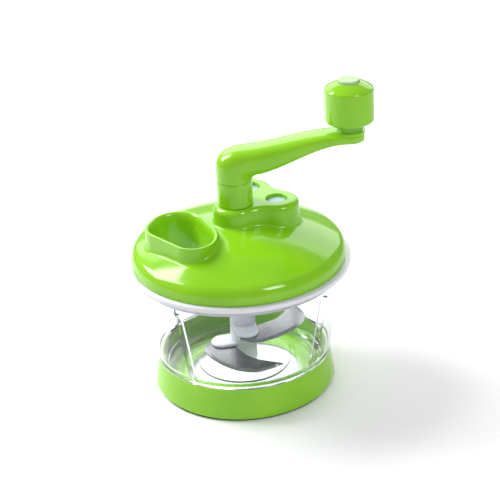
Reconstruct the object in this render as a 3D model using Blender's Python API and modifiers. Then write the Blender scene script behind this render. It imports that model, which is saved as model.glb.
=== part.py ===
# Hand-cranked food chopper, in metres, +Z up. The origin is at the table, in the middle of the
# whole length from the lid's flange to the knob, so the bowl's axis stands a little to one side.
# Every height is a height above the table. Each moving group hangs under an empty on its axis.

import math

import bmesh
import bpy
from mathutils import Matrix, Vector

COLLECTION = "manual_food_chopper"
CUTTERS = "cutters"

# Clearances and cuts
GAP = 0.0003
CHUTE_CLEARANCE = 0.0004
OVERRUN = 0.002
SINK = 0.001

# Leading radius: the lid's flange. The other large radii follow from it further down.
FLANGE_RADIUS = 0.090

# Facets
RING_STEPS = 40
MEDIUM_STEPS = 18
SMALL_STEPS = 10
FILLET_STEPS = 2
EDGE_STEPS = 3
HEX_SIDES = 6

# Base ring and its non-slip ring
BASE_UNDERSIDE = 0.0012
BASE_TOP = 0.0272
BASE_TOP_STANDOUT = 0.0038
BASE_FLARE = 0.004
BASE_WALL = 0.0024
BASE_FOOT_ROUND = 0.0028
BASE_TOP_ROUND = 0.0011
LEDGE_THICKNESS = 0.0038
LEDGE_WIDTH = 0.0198
LEDGE_CORNER = 0.0012
GROOVE_DEPTH = 0.0018
NON_SLIP_INSET = 0.0024
NON_SLIP_WIDTH = 0.0062
NON_SLIP_ROUND = 0.0006

# Bowl
BOWL_WALL = 0.0024
BOWL_RIM_MARGIN = 0.0027
BOWL_TAPER = 0.016
BOWL_RIM_HEIGHT = 0.1077
BOWL_LIP_PROUD = 0.0007
BOWL_LIP_HEIGHT = 0.0022
BOWL_LIP_ROUND = 0.0007
BOWL_FOOT_STEP = 0.0045
BOWL_FOOT_INSET = 0.0011
BOWL_FOOT_DEPTH = 0.0065
BOWL_FLOOR = 0.0028
BOWL_STEP_RISE = 0.0055
BOWL_STEP_SLOPE = 0.0045
BOWL_STEP_ROUND = 0.005
BOWL_CORNER_ROUND = 0.011
PLATEAU_RADIUS = 0.0375
PLATEAU_RISE = 0.0012
BOSS_RADIUS = 0.0085
BOSS_RISE = 0.0012
RIB_COUNT = 4
RIB_FIRST_BEARING = math.radians(232.5)
RIB_THICKNESS = 0.003
RIB_PROUD = 0.0043
RIB_TOP = 0.096

# Pivot pin and blade unit
PIN_RADIUS = 0.003
PIN_LENGTH = 0.0206
PIN_POINT = 0.0012
PIN_SEAT_FLOOR = 0.0016
COLUMN_RADIUS = 0.0105
COLUMN_FOOT_RADIUS = 0.0112
COLUMN_LENGTH = 0.0827
COLUMN_ROUND = 0.0012
LOWER_BLADE_RISE = 0.0157
BLADE_SPACING = 0.016
BLADE_THICKNESS = 0.0012
BLADE_EDGE_THICKNESS = 0.0003
BLADE_GRIND_WIDTH = 0.003
LOWER_BLADE_BEARING = math.radians(190)
UPPER_BLADE_BEARING = math.radians(280)
BLADE_WALL_MARGIN = 0.0143
ARM_REACH = 0.027
ARM_WIDTH = 0.019
ARM_THICKNESS = 0.0058
ARM_SLOT_START = 0.0112

# Lid plate, its seal and its drive bush
FLANGE_ROUND = 0.0009
FLANGE_SKIRT_DEPTH = 0.0016
FLANGE_SKIRT_WALL = 0.0014
LID_PLATE_THICKNESS = 0.002
PLUG_MARGIN = 0.0051
PLUG_DEPTH = 0.008
PLUG_WALL = 0.0028
SEAL_STANDOUT = 0.0013
SEAL_WIDTH = 0.0020
SEAL_HEIGHT = 0.0025
SEAL_DROP = 0.003
SEAL_ROUND = 0.0006
LOCATING_RIM_WALL = 0.0015
LOCATING_RIM_HEIGHT = 0.003
BUSH_WALL = 0.0024
BUSH_FLANGE_WIDTH = 0.0022
BUSH_FLANGE_THICKNESS = 0.0015

# Lid cover: a dome with a rounded shoulder
COVER_MARGIN = 0.004
COVER_HEIGHT = 0.0327
COVER_WALL = 0.0025
SHOULDER_ROUND = 0.010
DOME_SPHERE_RADIUS = 0.185

# Gear hump on the cover, with three lobes
HUMP_RISE = 0.014
HUMP_LOBE_RADIUS = 0.0184
HUMP_WAIST = 0.015
HUMP_TOP_ROUND = 0.0045
HUMP_FOOT_ROUND = 0.002
WALL_DRAFT = math.radians(2)
SATELLITE_HOLE_RADIUS = 0.0085
SATELLITE_COLLAR_LENGTH = 0.011
CRANK_HOLE_RADIUS = 0.008
CRANK_COLLAR_LENGTH = 0.013
COLLAR_WALL = 0.0022

# Feed chute, placed along its own bearing. Each corner of its outline is given as shares of the
# cover's radius: how far out from the axis, how far to the side, and how far it is rounded.
CHUTE_BEARING = math.radians(220)
CHUTE_RISE = 0.0012
CHUTE_CORNER_SHARES = (
    (0.7733, -0.4558, 0.2233),
    (0.7558, 0.3686, 0.1977),
    (0.3337, 0.1709, 0.3430),
    (0.0256, -0.8047, 0.2558),
)
CHUTE_LIP = 0.0012
CHUTE_LIP_ROUND = 0.0005
CHUTE_FUNNEL_DEPTH = 0.0075
CHUTE_FUNNEL_WIDTH = 0.0033
CHUTE_WALL = 0.0022
CHUTE_FOOT_ROUND = 0.0018
CHUTE_TAIL = 0.001

# Gear train: three equal stages, each a wheel that drives a pinion
GEAR_MODULE = 0.0015
PRESSURE_ANGLE = math.radians(20)
WHEEL_TEETH = 27
PINION_TEETH = 17
ADDENDUM_SHARE = 0.9
DEDENDUM_SHARE = 1.25
BACKLASH = 0.00025
GEAR_FACE = 0.006
GEAR_LEVEL_PITCH = 0.007
FIRST_LOBE_BEARING = math.radians(9)
SECOND_LOBE_BEARING = math.radians(69)
GEAR_PLATE_RADIUS = 0.0352
GEAR_PLATE_THICKNESS = 0.003
GEAR_PLATE_RISE = 0.003
GEAR_RUNNING_GAP = 0.001
GEAR_PLATE_SCREW_OUT = 0.0216
AXLE_RADIUS = 0.002
AXLE_BOSS_RADIUS = 0.0048
AXLE_BOSS_LENGTH = 0.0025
CLUSTER_HUB_RADIUS = 0.0082
CLUSTER_HUB_RECESS = 0.0027
CLUSTER_FOOT_RADIUS = 0.0045
CLUSTER_CAP = 0.004
DRIVE_SHAFT_RADIUS = 0.006
DRIVE_SHAFT_DROP = 0.006
DRIVER_CORNER_RADIUS = 0.0055
DRIVER_LENGTH = 0.018
DRIVER_SOCKET_SPARE = 0.001

# Screws
SCREW_RADIUS = 0.0016
SCREW_HEAD_RADIUS = 0.0032
SCREW_HEAD_HEIGHT = 0.002
SCREW_HEAD_ROUND = 0.0009
SCREW_BOSS_RADIUS = 0.0044
SCREW_REACH = 0.009
SCREW_TIP = 0.0008
LID_SCREW_MARGIN = 0.0046
LID_SCREW_COUNT = 4
LID_SCREW_FIRST_BEARING = math.radians(45)

# Crank
SPINDLE_CORNER_RADIUS = 0.0046
SPINDLE_PILOT_RADIUS = 0.003
SPINDLE_PILOT_FLOOR = 0.001
SPINDLE_TOP_DEPTH = 0.014
INPUT_HUB_RADIUS = 0.0078
OUTPUT_HUB_RADIUS = 0.006
RETAINER_THICKNESS = 0.001
RETAINER_RADIUS = 0.006
HUB_RADIUS = 0.014
HUB_LENGTH = 0.0204
HUB_EDGE_ROUND = 0.0008
ELBOW_INNER_ROUND = 0.006
ELBOW_INNER_OFFSET = 0.0065
ELBOW_OUTER_RISE = 0.0119
ELBOW_OUTER_LENGTH = 0.021
ELBOW_CROWN_RISE = 0.0262
CRANK_THROW = 0.0916
ARM_START_UNDERSIDE_RISE = 0.0055
ARM_END_UNDERSIDE_RISE = 0.0261
ARM_END_CROWN_RISE = 0.0357
ARM_UNDERSIDE_START_SLOPE = 0.2
ARM_CROWN_START_SLOPE = 0.05
ARM_UNDERSIDE_LEVEL_BACK = 0.0046
ARM_CROWN_LEVEL_BACK = 0.0116
PAD_RADIUS = 0.0115
PAD_END_ROUND = 0.0012
NECK_RADIUS = 0.0095
NECK_LENGTH = 0.0074

# Knob
KNOB_RADIUS = 0.0192
KNOB_FOOT_ROUND = 0.002
KNOB_SIDE_HEIGHT = 0.0265
KNOB_SHOULDER_ROUND = 0.0022
KNOB_DOME_RISE = 0.0065
KNOB_PIN_RADIUS = 0.0036
KNOB_PIN_HEAD_RADIUS = 0.0062
KNOB_PIN_HEAD_HEIGHT = 0.003
KNOB_PIN_SEAT_DEPTH = 0.0105
KNOB_PIN_ROOT = 0.0025
CAP_RADIUS = 0.008
CAP_PROUD = 0.001
CAP_ROUND = 0.0008

# Colours of the pieces: linear red, green, blue, alpha
LIME = (0.25, 0.56, 0.025, 1.0)
SATIN_GREEN = (0.36, 0.55, 0.30, 1.0)
PALE_GREY = (0.74, 0.74, 0.80, 1.0)
WHITE_NYLON = (0.80, 0.80, 0.78, 1.0)
BLUE_GREY_NYLON = (0.48, 0.60, 0.66, 1.0)
CLEAR = (0.93, 0.96, 0.97, 0.35)
STEEL = (0.60, 0.60, 0.58, 1.0)
DARK_RUBBER = (0.03, 0.035, 0.03, 1.0)
CLEAR_SILICONE = (0.75, 0.78, 0.76, 1.0)

# Radii that follow from the flange's
BOWL_RIM_RADIUS = FLANGE_RADIUS - BOWL_RIM_MARGIN
BOWL_STEP_RADIUS = BOWL_RIM_RADIUS - BOWL_TAPER
BOWL_FOOT_RADIUS = BOWL_STEP_RADIUS - BOWL_FOOT_STEP
BASE_TOP_RADIUS = BOWL_FOOT_RADIUS + BASE_TOP_STANDOUT
BASE_FOOT_RADIUS = BASE_TOP_RADIUS + BASE_FLARE
LEDGE_INNER_RADIUS = BOWL_FOOT_RADIUS - LEDGE_WIDTH
NON_SLIP_OUTER_RADIUS = BASE_FOOT_RADIUS - NON_SLIP_INSET
BLADE_REACH = BOWL_FOOT_RADIUS - BLADE_WALL_MARGIN
PLUG_RADIUS = BOWL_RIM_RADIUS - PLUG_MARGIN
SEAL_RADIUS = PLUG_RADIUS + SEAL_STANDOUT
LID_SCREW_CIRCLE = PLUG_RADIUS - PLUG_WALL - LID_SCREW_MARGIN
COVER_RADIUS = FLANGE_RADIUS - COVER_MARGIN
BOWL_AXIS_X = (FLANGE_RADIUS - CRANK_THROW - KNOB_RADIUS) / 2

# Heights that follow from the sizes above
LEDGE_TOP = BASE_UNDERSIDE + LEDGE_THICKNESS
BOWL_FOOT_BOTTOM = LEDGE_TOP + GAP
BOWL_STEP_BOTTOM = BASE_TOP + GAP
FLOOR_UNDERSIDE = BOWL_FOOT_BOTTOM + BOWL_FOOT_DEPTH
FLOOR_TOP = FLOOR_UNDERSIDE + BOWL_FLOOR
PLATEAU_TOP = FLOOR_TOP + PLATEAU_RISE
BOSS_TOP = PLATEAU_TOP + BOSS_RISE
PIN_SEAT = FLOOR_UNDERSIDE + PIN_SEAT_FLOOR
PIN_BOTTOM = PIN_SEAT + GAP
PIN_TOP = PIN_BOTTOM + PIN_LENGTH
COLUMN_BOTTOM = BOSS_TOP + GAP
COLUMN_TOP = COLUMN_BOTTOM + COLUMN_LENGTH
LOWER_BLADE_HEIGHT = COLUMN_BOTTOM + LOWER_BLADE_RISE
UPPER_BLADE_HEIGHT = LOWER_BLADE_HEIGHT + BLADE_SPACING
LID_PLATE_BOTTOM = BOWL_RIM_HEIGHT + GAP
LID_PLATE_TOP = LID_PLATE_BOTTOM + LID_PLATE_THICKNESS
PLUG_BOTTOM = LID_PLATE_BOTTOM - PLUG_DEPTH
SEAL_TOP = LID_PLATE_BOTTOM - SEAL_DROP
SEAL_BOTTOM = SEAL_TOP - SEAL_HEIGHT
COVER_BOTTOM = LID_PLATE_TOP + GAP
DOME_APEX = COVER_BOTTOM + COVER_HEIGHT
CHUTE_TOP = DOME_APEX + CHUTE_RISE
CHUTE_BOTTOM = LID_PLATE_BOTTOM - CHUTE_TAIL
HUMP_TOP = DOME_APEX + HUMP_RISE
HUMP_CEILING = HUMP_TOP - COVER_WALL
SATELLITE_COLLAR_BOTTOM = HUMP_TOP - SATELLITE_COLLAR_LENGTH
CRANK_COLLAR_BOTTOM = HUMP_TOP - CRANK_COLLAR_LENGTH
CRANK_BUSH_FLANGE_TOP = CRANK_COLLAR_BOTTOM - GAP
CRANK_BUSH_BOTTOM = CRANK_BUSH_FLANGE_TOP - BUSH_FLANGE_THICKNESS
GEAR_PLATE_BOTTOM = LID_PLATE_TOP + GEAR_PLATE_RISE
GEAR_PLATE_TOP = GEAR_PLATE_BOTTOM + GEAR_PLATE_THICKNESS
LOW_LEVEL = GEAR_PLATE_TOP + GEAR_RUNNING_GAP
MIDDLE_LEVEL = LOW_LEVEL + GEAR_LEVEL_PITCH
HIGH_LEVEL = MIDDLE_LEVEL + GEAR_LEVEL_PITCH
CLUSTER_TOP = HUMP_TOP - CLUSTER_HUB_RECESS
CLUSTER_BORE_TOP = CLUSTER_TOP - CLUSTER_CAP
INPUT_HUB_TOP = CRANK_BUSH_BOTTOM - GAP
RETAINER_TOP = HIGH_LEVEL - GAP
RETAINER_BOTTOM = RETAINER_TOP - RETAINER_THICKNESS
OUTPUT_HUB_TOP = RETAINER_BOTTOM - GAP
SHAFT_BOTTOM = LID_PLATE_TOP - DRIVE_SHAFT_DROP
DRIVER_BOTTOM = SHAFT_BOTTOM - DRIVER_LENGTH
SOCKET_BOTTOM = DRIVER_BOTTOM - DRIVER_SOCKET_SPARE
PILOT_SEAT = LOW_LEVEL + SPINDLE_PILOT_FLOOR
HUB_BOTTOM = HUMP_TOP + GAP
HUB_TOP = HUB_BOTTOM + HUB_LENGTH
ARM_BOTTOM = HUB_TOP + GAP
SPINDLE_TOP = ARM_BOTTOM + SPINDLE_TOP_DEPTH
PAD_UNDERSIDE = ARM_BOTTOM + ARM_END_UNDERSIDE_RISE
PAD_CROWN = ARM_BOTTOM + ARM_END_CROWN_RISE
NECK_TOP = PAD_CROWN + NECK_LENGTH
KNOB_BOTTOM = NECK_TOP + GAP
KNOB_SHOULDER = KNOB_BOTTOM + KNOB_SIDE_HEIGHT
KNOB_APEX = KNOB_SHOULDER + KNOB_DOME_RISE
KNOB_PIN_SEAT = KNOB_APEX - KNOB_PIN_SEAT_DEPTH
KNOB_PIN_HEAD_BOTTOM = KNOB_PIN_SEAT + GAP
KNOB_PIN_HEAD_TOP = KNOB_PIN_HEAD_BOTTOM + KNOB_PIN_HEAD_HEIGHT
CAP_BOTTOM = KNOB_PIN_HEAD_TOP + GAP
CAP_TOP = KNOB_APEX + CAP_PROUD
GEAR_CENTRES = GEAR_MODULE * (WHEEL_TEETH + PINION_TEETH) / 2


def along(bearing, distance):
    return Vector((math.cos(bearing), math.sin(bearing))) * distance


CRANK_AXIS = Vector((0, 0))
FIRST_AXIS = along(FIRST_LOBE_BEARING, GEAR_CENTRES)
SECOND_AXIS = along(SECOND_LOBE_BEARING, GEAR_CENTRES)
GEAR_AXES = (SECOND_AXIS, CRANK_AXIS, FIRST_AXIS)
GEAR_PLATE_CENTRE = sum(GEAR_AXES, Vector((0, 0))) / len(GEAR_AXES)
KNOB_AXIS = Vector((CRANK_THROW, 0))


# Scene, objects and materials


def clear_scene():
    for obj in list(bpy.data.objects):
        bpy.data.objects.remove(obj)


def new_collection(name, hidden):
    collection = bpy.data.collections.new(name)
    collection.hide_render = hidden
    bpy.context.scene.collection.children.link(collection)
    return collection


def new_material(name, colour, roughness, metallic):
    material = bpy.data.materials.new(name)
    material.use_nodes = True
    shader = material.node_tree.nodes["Principled BSDF"]
    shader.inputs["Base Color"].default_value = colour
    shader.inputs["Alpha"].default_value = colour[3]
    shader.inputs["Roughness"].default_value = roughness
    shader.inputs["Metallic"].default_value = metallic
    material.diffuse_color = colour
    return material


def new_object(name, mesh):
    obj = bpy.data.objects.new(name, mesh)
    bpy.data.collections[CUTTERS].objects.link(obj)
    obj.hide_render = True
    obj.display_type = "WIRE"
    return obj


def mesh_from(name, bm):
    bmesh.ops.remove_doubles(bm, verts=bm.verts, dist=GAP / 100)
    bmesh.ops.recalc_face_normals(bm, faces=bm.faces)
    mesh = bpy.data.meshes.new(name)
    bm.to_mesh(mesh)
    bm.free()
    return mesh


def evaluated_mesh(obj):
    graph = bpy.context.evaluated_depsgraph_get()
    return bpy.data.meshes.new_from_object(obj.evaluated_get(graph))


def axis_empty(name, place, parent):
    empty = bpy.data.objects.new(name, None)
    bpy.data.collections[COLLECTION].objects.link(empty)
    empty.empty_display_size = GEAR_CENTRES
    empty.parent = parent
    empty.location = (place.x, place.y, 0)
    return empty


def finished(obj, material, parent):
    """Applies what shaped the piece, shades it and hangs it under its axis."""
    mesh = evaluated_mesh(obj)
    bm = bmesh.new()
    bm.from_mesh(mesh)
    bmesh.ops.remove_doubles(bm, verts=bm.verts, dist=GAP / 100)
    bm.to_mesh(mesh)
    bm.free()
    tools = [modifier.object for modifier in obj.modifiers if modifier.type == "BOOLEAN"]
    obj.modifiers.clear()
    obj.data = mesh
    for tool in tools:
        bpy.data.objects.remove(tool)
    mesh.shade_smooth()
    mesh.set_sharp_from_angle(angle=math.radians(32))
    mesh.materials.clear()
    mesh.materials.append(material)
    bpy.data.collections[CUTTERS].objects.unlink(obj)
    bpy.data.collections[COLLECTION].objects.link(obj)
    obj.hide_render = False
    obj.display_type = "TEXTURED"
    obj.parent = parent
    return obj


# Solids


def boolean(target, operation, tools):
    for tool in tools:
        modifier = target.modifiers.new(tool.name, "BOOLEAN")
        modifier.operation = operation
        modifier.solver = "EXACT"
        modifier.object = tool
    return target


def joined(target, *tools):
    return boolean(target, "UNION", tools)


def cut(target, *tools):
    return boolean(target, "DIFFERENCE", tools)


def turned(name, profile, closed, steps=RING_STEPS):
    """Turns a profile of (radius, height) points about Z. It runs down the outer side."""
    bm = bmesh.new()
    points = [bm.verts.new((radius, 0, height)) for radius, height in profile]
    ends = points[1:] + points[:1] if closed else points[1:]
    for start, end in zip(points, ends):
        bm.edges.new((start, end))
    mesh = bpy.data.meshes.new(name)
    bm.to_mesh(mesh)
    bm.free()
    obj = new_object(name, mesh)
    screw = obj.modifiers.new("turn", "SCREW")
    screw.steps = steps
    screw.render_steps = steps
    screw.use_merge_vertices = True
    screw.merge_threshold = GAP / 100
    return obj


def cylinder(name, radius, bottom, top, place=CRANK_AXIS, sides=MEDIUM_STEPS, turn=0.0):
    bm = bmesh.new()
    middle = Vector((place.x, place.y, (bottom + top) / 2))
    bmesh.ops.create_cone(
        bm,
        cap_ends=True,
        segments=sides,
        radius1=radius,
        radius2=radius,
        depth=top - bottom,
        matrix=Matrix.Translation(middle) @ Matrix.Rotation(turn, 4, "Z"),
    )
    return new_object(name, mesh_from(name, bm))


def flat_solid(name, outline, bottom, top):
    """A filled flat curve with thickness, made a mesh."""
    curve = bpy.data.curves.new(name, "CURVE")
    curve.dimensions = "2D"
    curve.fill_mode = "BOTH"
    curve.extrude = (top - bottom) / 2
    spline = curve.splines.new("POLY")
    spline.points.add(len(outline) - 1)
    for point, place in zip(spline.points, outline):
        point.co = (place[0], place[1], 0, 1)
    spline.use_cyclic_u = True
    guide = new_object(name, curve)
    bm = bmesh.new()
    bm.from_mesh(evaluated_mesh(guide))
    bpy.data.objects.remove(guide)
    bmesh.ops.translate(bm, verts=bm.verts, vec=(0, 0, (bottom + top) / 2))
    return new_object(name, mesh_from(name, bm))


def lofted(name, rings):
    """Skins rings of equal counts, in order, and closes the two ends."""
    bm = bmesh.new()
    rows = [[bm.verts.new(point) for point in ring] for ring in rings]
    for row, following in zip(rows, rows[1:]):
        for i in range(len(row)):
            j = (i + 1) % len(row)
            bm.faces.new((row[i], row[j], following[j], following[i]))
    bm.faces.new(reversed(rows[0]))
    bm.faces.new(rows[-1])
    return new_object(name, mesh_from(name, bm))


# Profiles and outlines


def arc(centre, radius, start, end, steps):
    turn = (end - start) / steps
    return [centre + along(start + turn * i, radius) for i in range(steps + 1)]


def filleted(corners, closed=True, steps=FILLET_STEPS):
    """Rounds each corner given as (x, y, radius); a corner (x, y) stays sharp."""
    points = []
    count = len(corners)
    for i, corner in enumerate(corners):
        here = Vector(corner[:2])
        radius = corner[2] if len(corner) > 2 else 0
        end = not closed and i in (0, count - 1)
        if radius == 0 or end:
            points.append(here)
            continue
        back = (Vector(corners[i - 1][:2]) - here).normalized()
        ahead = (Vector(corners[(i + 1) % count][:2]) - here).normalized()
        half = back.angle(ahead) / 2
        centre = here + (back + ahead).normalized() * (radius / math.sin(half))
        first = here + back * (radius / math.tan(half)) - centre
        last = here + ahead * (radius / math.tan(half)) - centre
        start = math.atan2(first.y, first.x)
        sweep = -first.angle_signed(last)
        points.extend(arc(centre, radius, start, start + sweep, steps))
    return points


def offset_corners(corners, distance):
    """Moves the sides of a convex outline out by a distance, keeping its roundings concentric."""
    moved = []
    count = len(corners)
    for i, (x, y, radius) in enumerate(corners):
        here = Vector((x, y))
        back = (here - Vector(corners[i - 1][:2])).normalized()
        ahead = (Vector(corners[(i + 1) % count][:2]) - here).normalized()
        first_normal = Vector((back.y, -back.x))
        second_normal = Vector((ahead.y, -ahead.x))
        shift = (first_normal + second_normal) / (1 + first_normal.dot(second_normal))
        place = here + shift * distance
        moved.append((place.x, place.y, radius + distance))
    return moved


def chute_outline(distance):
    """The chute's outer outline at its rim, moved out by a distance, counterclockwise."""
    corners = [[share * COVER_RADIUS for share in corner] for corner in CHUTE_CORNER_SHARES]
    spin = Matrix.Rotation(CHUTE_BEARING, 2)
    return [spin @ point for point in filleted(offset_corners(corners, distance), steps=4)]


def hump_outline(distance):
    """Three lobes joined by hollow waists, moved out by a distance, counterclockwise."""
    half = GEAR_CENTRES / 2
    lobe = HUMP_LOBE_RADIUS
    waist = (half**2 + HUMP_WAIST**2 - lobe**2) / (2 * (lobe - HUMP_WAIST))
    points = []
    for i, here in enumerate(GEAR_AXES):
        before = waist_centre(GEAR_AXES[i - 1], here, lobe + waist)
        following = GEAR_AXES[(i + 1) % len(GEAR_AXES)]
        after = waist_centre(here, following, lobe + waist)
        start = bearing_of(before - here)
        sweep = (bearing_of(after - here) - start) % (2 * math.pi)
        points.extend(arc(here, lobe + distance, start, start + sweep, 8)[:-1])
        start = bearing_of(here - after)
        sweep = (start - bearing_of(following - after)) % (2 * math.pi)
        points.extend(arc(after, waist - distance, start, start - sweep, 3)[:-1])
    return points


def bearing_of(vector):
    return math.atan2(vector.y, vector.x)


def waist_centre(first, second, reach):
    middle = (first + second) / 2
    step = (second - first).normalized()
    outward = Vector((step.y, -step.x))
    return middle + outward * math.sqrt(reach**2 - (GEAR_CENTRES / 2) ** 2)


def gear_outline(teeth, turn, place):
    """Involute teeth, the first one centred on the bearing turn."""
    pitch_radius = GEAR_MODULE * teeth / 2
    base_radius = pitch_radius * math.cos(PRESSURE_ANGLE)
    root_radius = pitch_radius - DEDENDUM_SHARE * GEAR_MODULE
    tip_radius = pitch_radius + ADDENDUM_SHARE * GEAR_MODULE
    half_tooth = math.pi / (2 * teeth) - BACKLASH / (4 * pitch_radius)
    flank = (root_radius, pitch_radius, tip_radius)
    points = []
    for tooth in range(teeth):
        centre = turn + 2 * math.pi * tooth / teeth
        rising = [
            (radius, half_tooth + involute(PRESSURE_ANGLE) - involute_at(radius, base_radius))
            for radius in flank
        ]
        points += [place + along(centre - half, radius) for radius, half in rising]
        points += [place + along(centre + half, radius) for radius, half in reversed(rising)]
    return points


def involute(angle):
    return math.tan(angle) - angle


def involute_at(radius, base_radius):
    return involute(math.acos(min(1, base_radius / radius)))


def meshing_turn(driver_turn, bearing):
    """How far a pinion is turned to mesh with a wheel that lies back along the bearing."""
    phase = (bearing - driver_turn) / (2 * math.pi / WHEEL_TEETH)
    return bearing + math.pi - (0.5 - phase) * 2 * math.pi / PINION_TEETH


def smooth_path(points, steps):
    """A curve through the points, with tangents from their neighbours."""
    path = []
    padded = [points[0] * 2 - points[1]] + list(points) + [points[-1] * 2 - points[-2]]
    for before, start, end, after in zip(padded, padded[1:], padded[2:], padded[3:]):
        for i in range(steps):
            t = i / steps
            path.append(
                (
                    start * 2
                    + (end - before) * t
                    + (before * 2 - start * 5 + end * 4 - after) * t**2
                    + (start * 3 - before - end * 3 + after) * t**3
                )
                / 2
            )
    return path + [points[-1]]


# The dome, as it is needed by everything that stands on it


def dome_sizes(inset):
    sphere = DOME_SPHERE_RADIUS - inset
    shoulder = SHOULDER_ROUND - inset
    centre = DOME_APEX - DOME_SPHERE_RADIUS
    shoulder_radius = COVER_RADIUS - SHOULDER_ROUND
    reach = DOME_SPHERE_RADIUS - SHOULDER_ROUND
    shoulder_height = centre + math.sqrt(reach**2 - shoulder_radius**2)
    return sphere, shoulder, centre, shoulder_radius, shoulder_height


def dome_height(radius, inset=0.0):
    sphere, shoulder, centre, shoulder_radius, shoulder_height = dome_sizes(inset)
    reach = DOME_SPHERE_RADIUS - SHOULDER_ROUND
    if radius < sphere * shoulder_radius / reach:
        return centre + math.sqrt(sphere**2 - radius**2)
    side = min(shoulder, radius - shoulder_radius)
    return shoulder_height + math.sqrt(shoulder**2 - side**2)


def dome_profile(inset, bottom):
    sphere, shoulder, centre, shoulder_radius, shoulder_height = dome_sizes(inset)
    lean = math.atan2(shoulder_height - centre, shoulder_radius)
    points = arc(Vector((0, centre)), sphere, math.pi / 2, lean, 7)
    points += arc(Vector((shoulder_radius, shoulder_height)), shoulder, lean, 0, 4)[1:]
    points += [Vector((COVER_RADIUS - inset, bottom)), Vector((0, bottom))]
    return [(max(0.0, point.x), point.y) for point in points]


def wall_on_dome(name, outline, top, foot_round, top_round):
    """A drafted wall that stands on the dome with a rounded foot and a rounded top edge."""
    rings = [ring_at(outline(foot_round), COVER_BOTTOM + SINK)]
    rings.append(draped_ring(outline(foot_round), -SINK))
    for share in (0.15, 0.5, 0.8):
        angle = share * math.pi / 2
        out = foot_round * (1 - math.sin(angle))
        rings.append(draped_ring(outline(out), foot_round * (1 - math.cos(angle))))
    rings.append(draped_ring(outline(0), foot_round))
    lean = (top - DOME_APEX) * math.tan(WALL_DRAFT)
    for i in range(EDGE_STEPS + 1):
        angle = i / EDGE_STEPS * math.pi / 2
        inward = lean + top_round * (1 - math.cos(angle))
        rings.append(ring_at(outline(-inward), top - top_round * (1 - math.sin(angle))))
    return lofted(name, rings)


def ring_at(outline, height):
    return [(point.x, point.y, height) for point in outline]


def draped_ring(outline, rise):
    return [(point.x, point.y, dome_height(point.length) + rise) for point in outline]


# Base and bowl


def base_outer_radius(height):
    slope = (BASE_TOP_RADIUS - BASE_FOOT_RADIUS) / (BASE_TOP - BASE_UNDERSIDE)
    return BASE_FOOT_RADIUS + slope * (height - BASE_UNDERSIDE)


def make_base_ring():
    top, low = BASE_TOP, BASE_UNDERSIDE
    corners = [
        (base_outer_radius(top), top, BASE_TOP_ROUND),
        (base_outer_radius(low), low, BASE_FOOT_ROUND),
        (NON_SLIP_OUTER_RADIUS + GAP, low),
        (NON_SLIP_OUTER_RADIUS + GAP, low + GROOVE_DEPTH),
        (NON_SLIP_OUTER_RADIUS - NON_SLIP_WIDTH - GAP, low + GROOVE_DEPTH),
        (NON_SLIP_OUTER_RADIUS - NON_SLIP_WIDTH - GAP, low),
        (LEDGE_INNER_RADIUS, low, LEDGE_CORNER),
        (LEDGE_INNER_RADIUS, LEDGE_TOP, LEDGE_CORNER),
        (base_outer_radius(LEDGE_TOP) - BASE_WALL, LEDGE_TOP),
        (base_outer_radius(top) - BASE_WALL, top),
    ]
    return turned("base_ring", filleted(corners, steps=2), closed=True)


def make_non_slip_ring():
    inner = NON_SLIP_OUTER_RADIUS - NON_SLIP_WIDTH
    top = BASE_UNDERSIDE + GROOVE_DEPTH - GAP
    corners = [
        (NON_SLIP_OUTER_RADIUS, top),
        (NON_SLIP_OUTER_RADIUS, 0, NON_SLIP_ROUND),
        (inner, 0, NON_SLIP_ROUND),
        (inner, top),
    ]
    return turned("non_slip_ring", filleted(corners, steps=1), closed=True)


def bowl_outer_radius(height):
    rise = (height - BOWL_STEP_BOTTOM) / (BOWL_RIM_HEIGHT - BOWL_STEP_BOTTOM)
    return BOWL_STEP_RADIUS + (BOWL_RIM_RADIUS - BOWL_STEP_RADIUS) * rise


def bowl_inner_radius(height):
    return bowl_outer_radius(height) - BOWL_WALL


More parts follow.
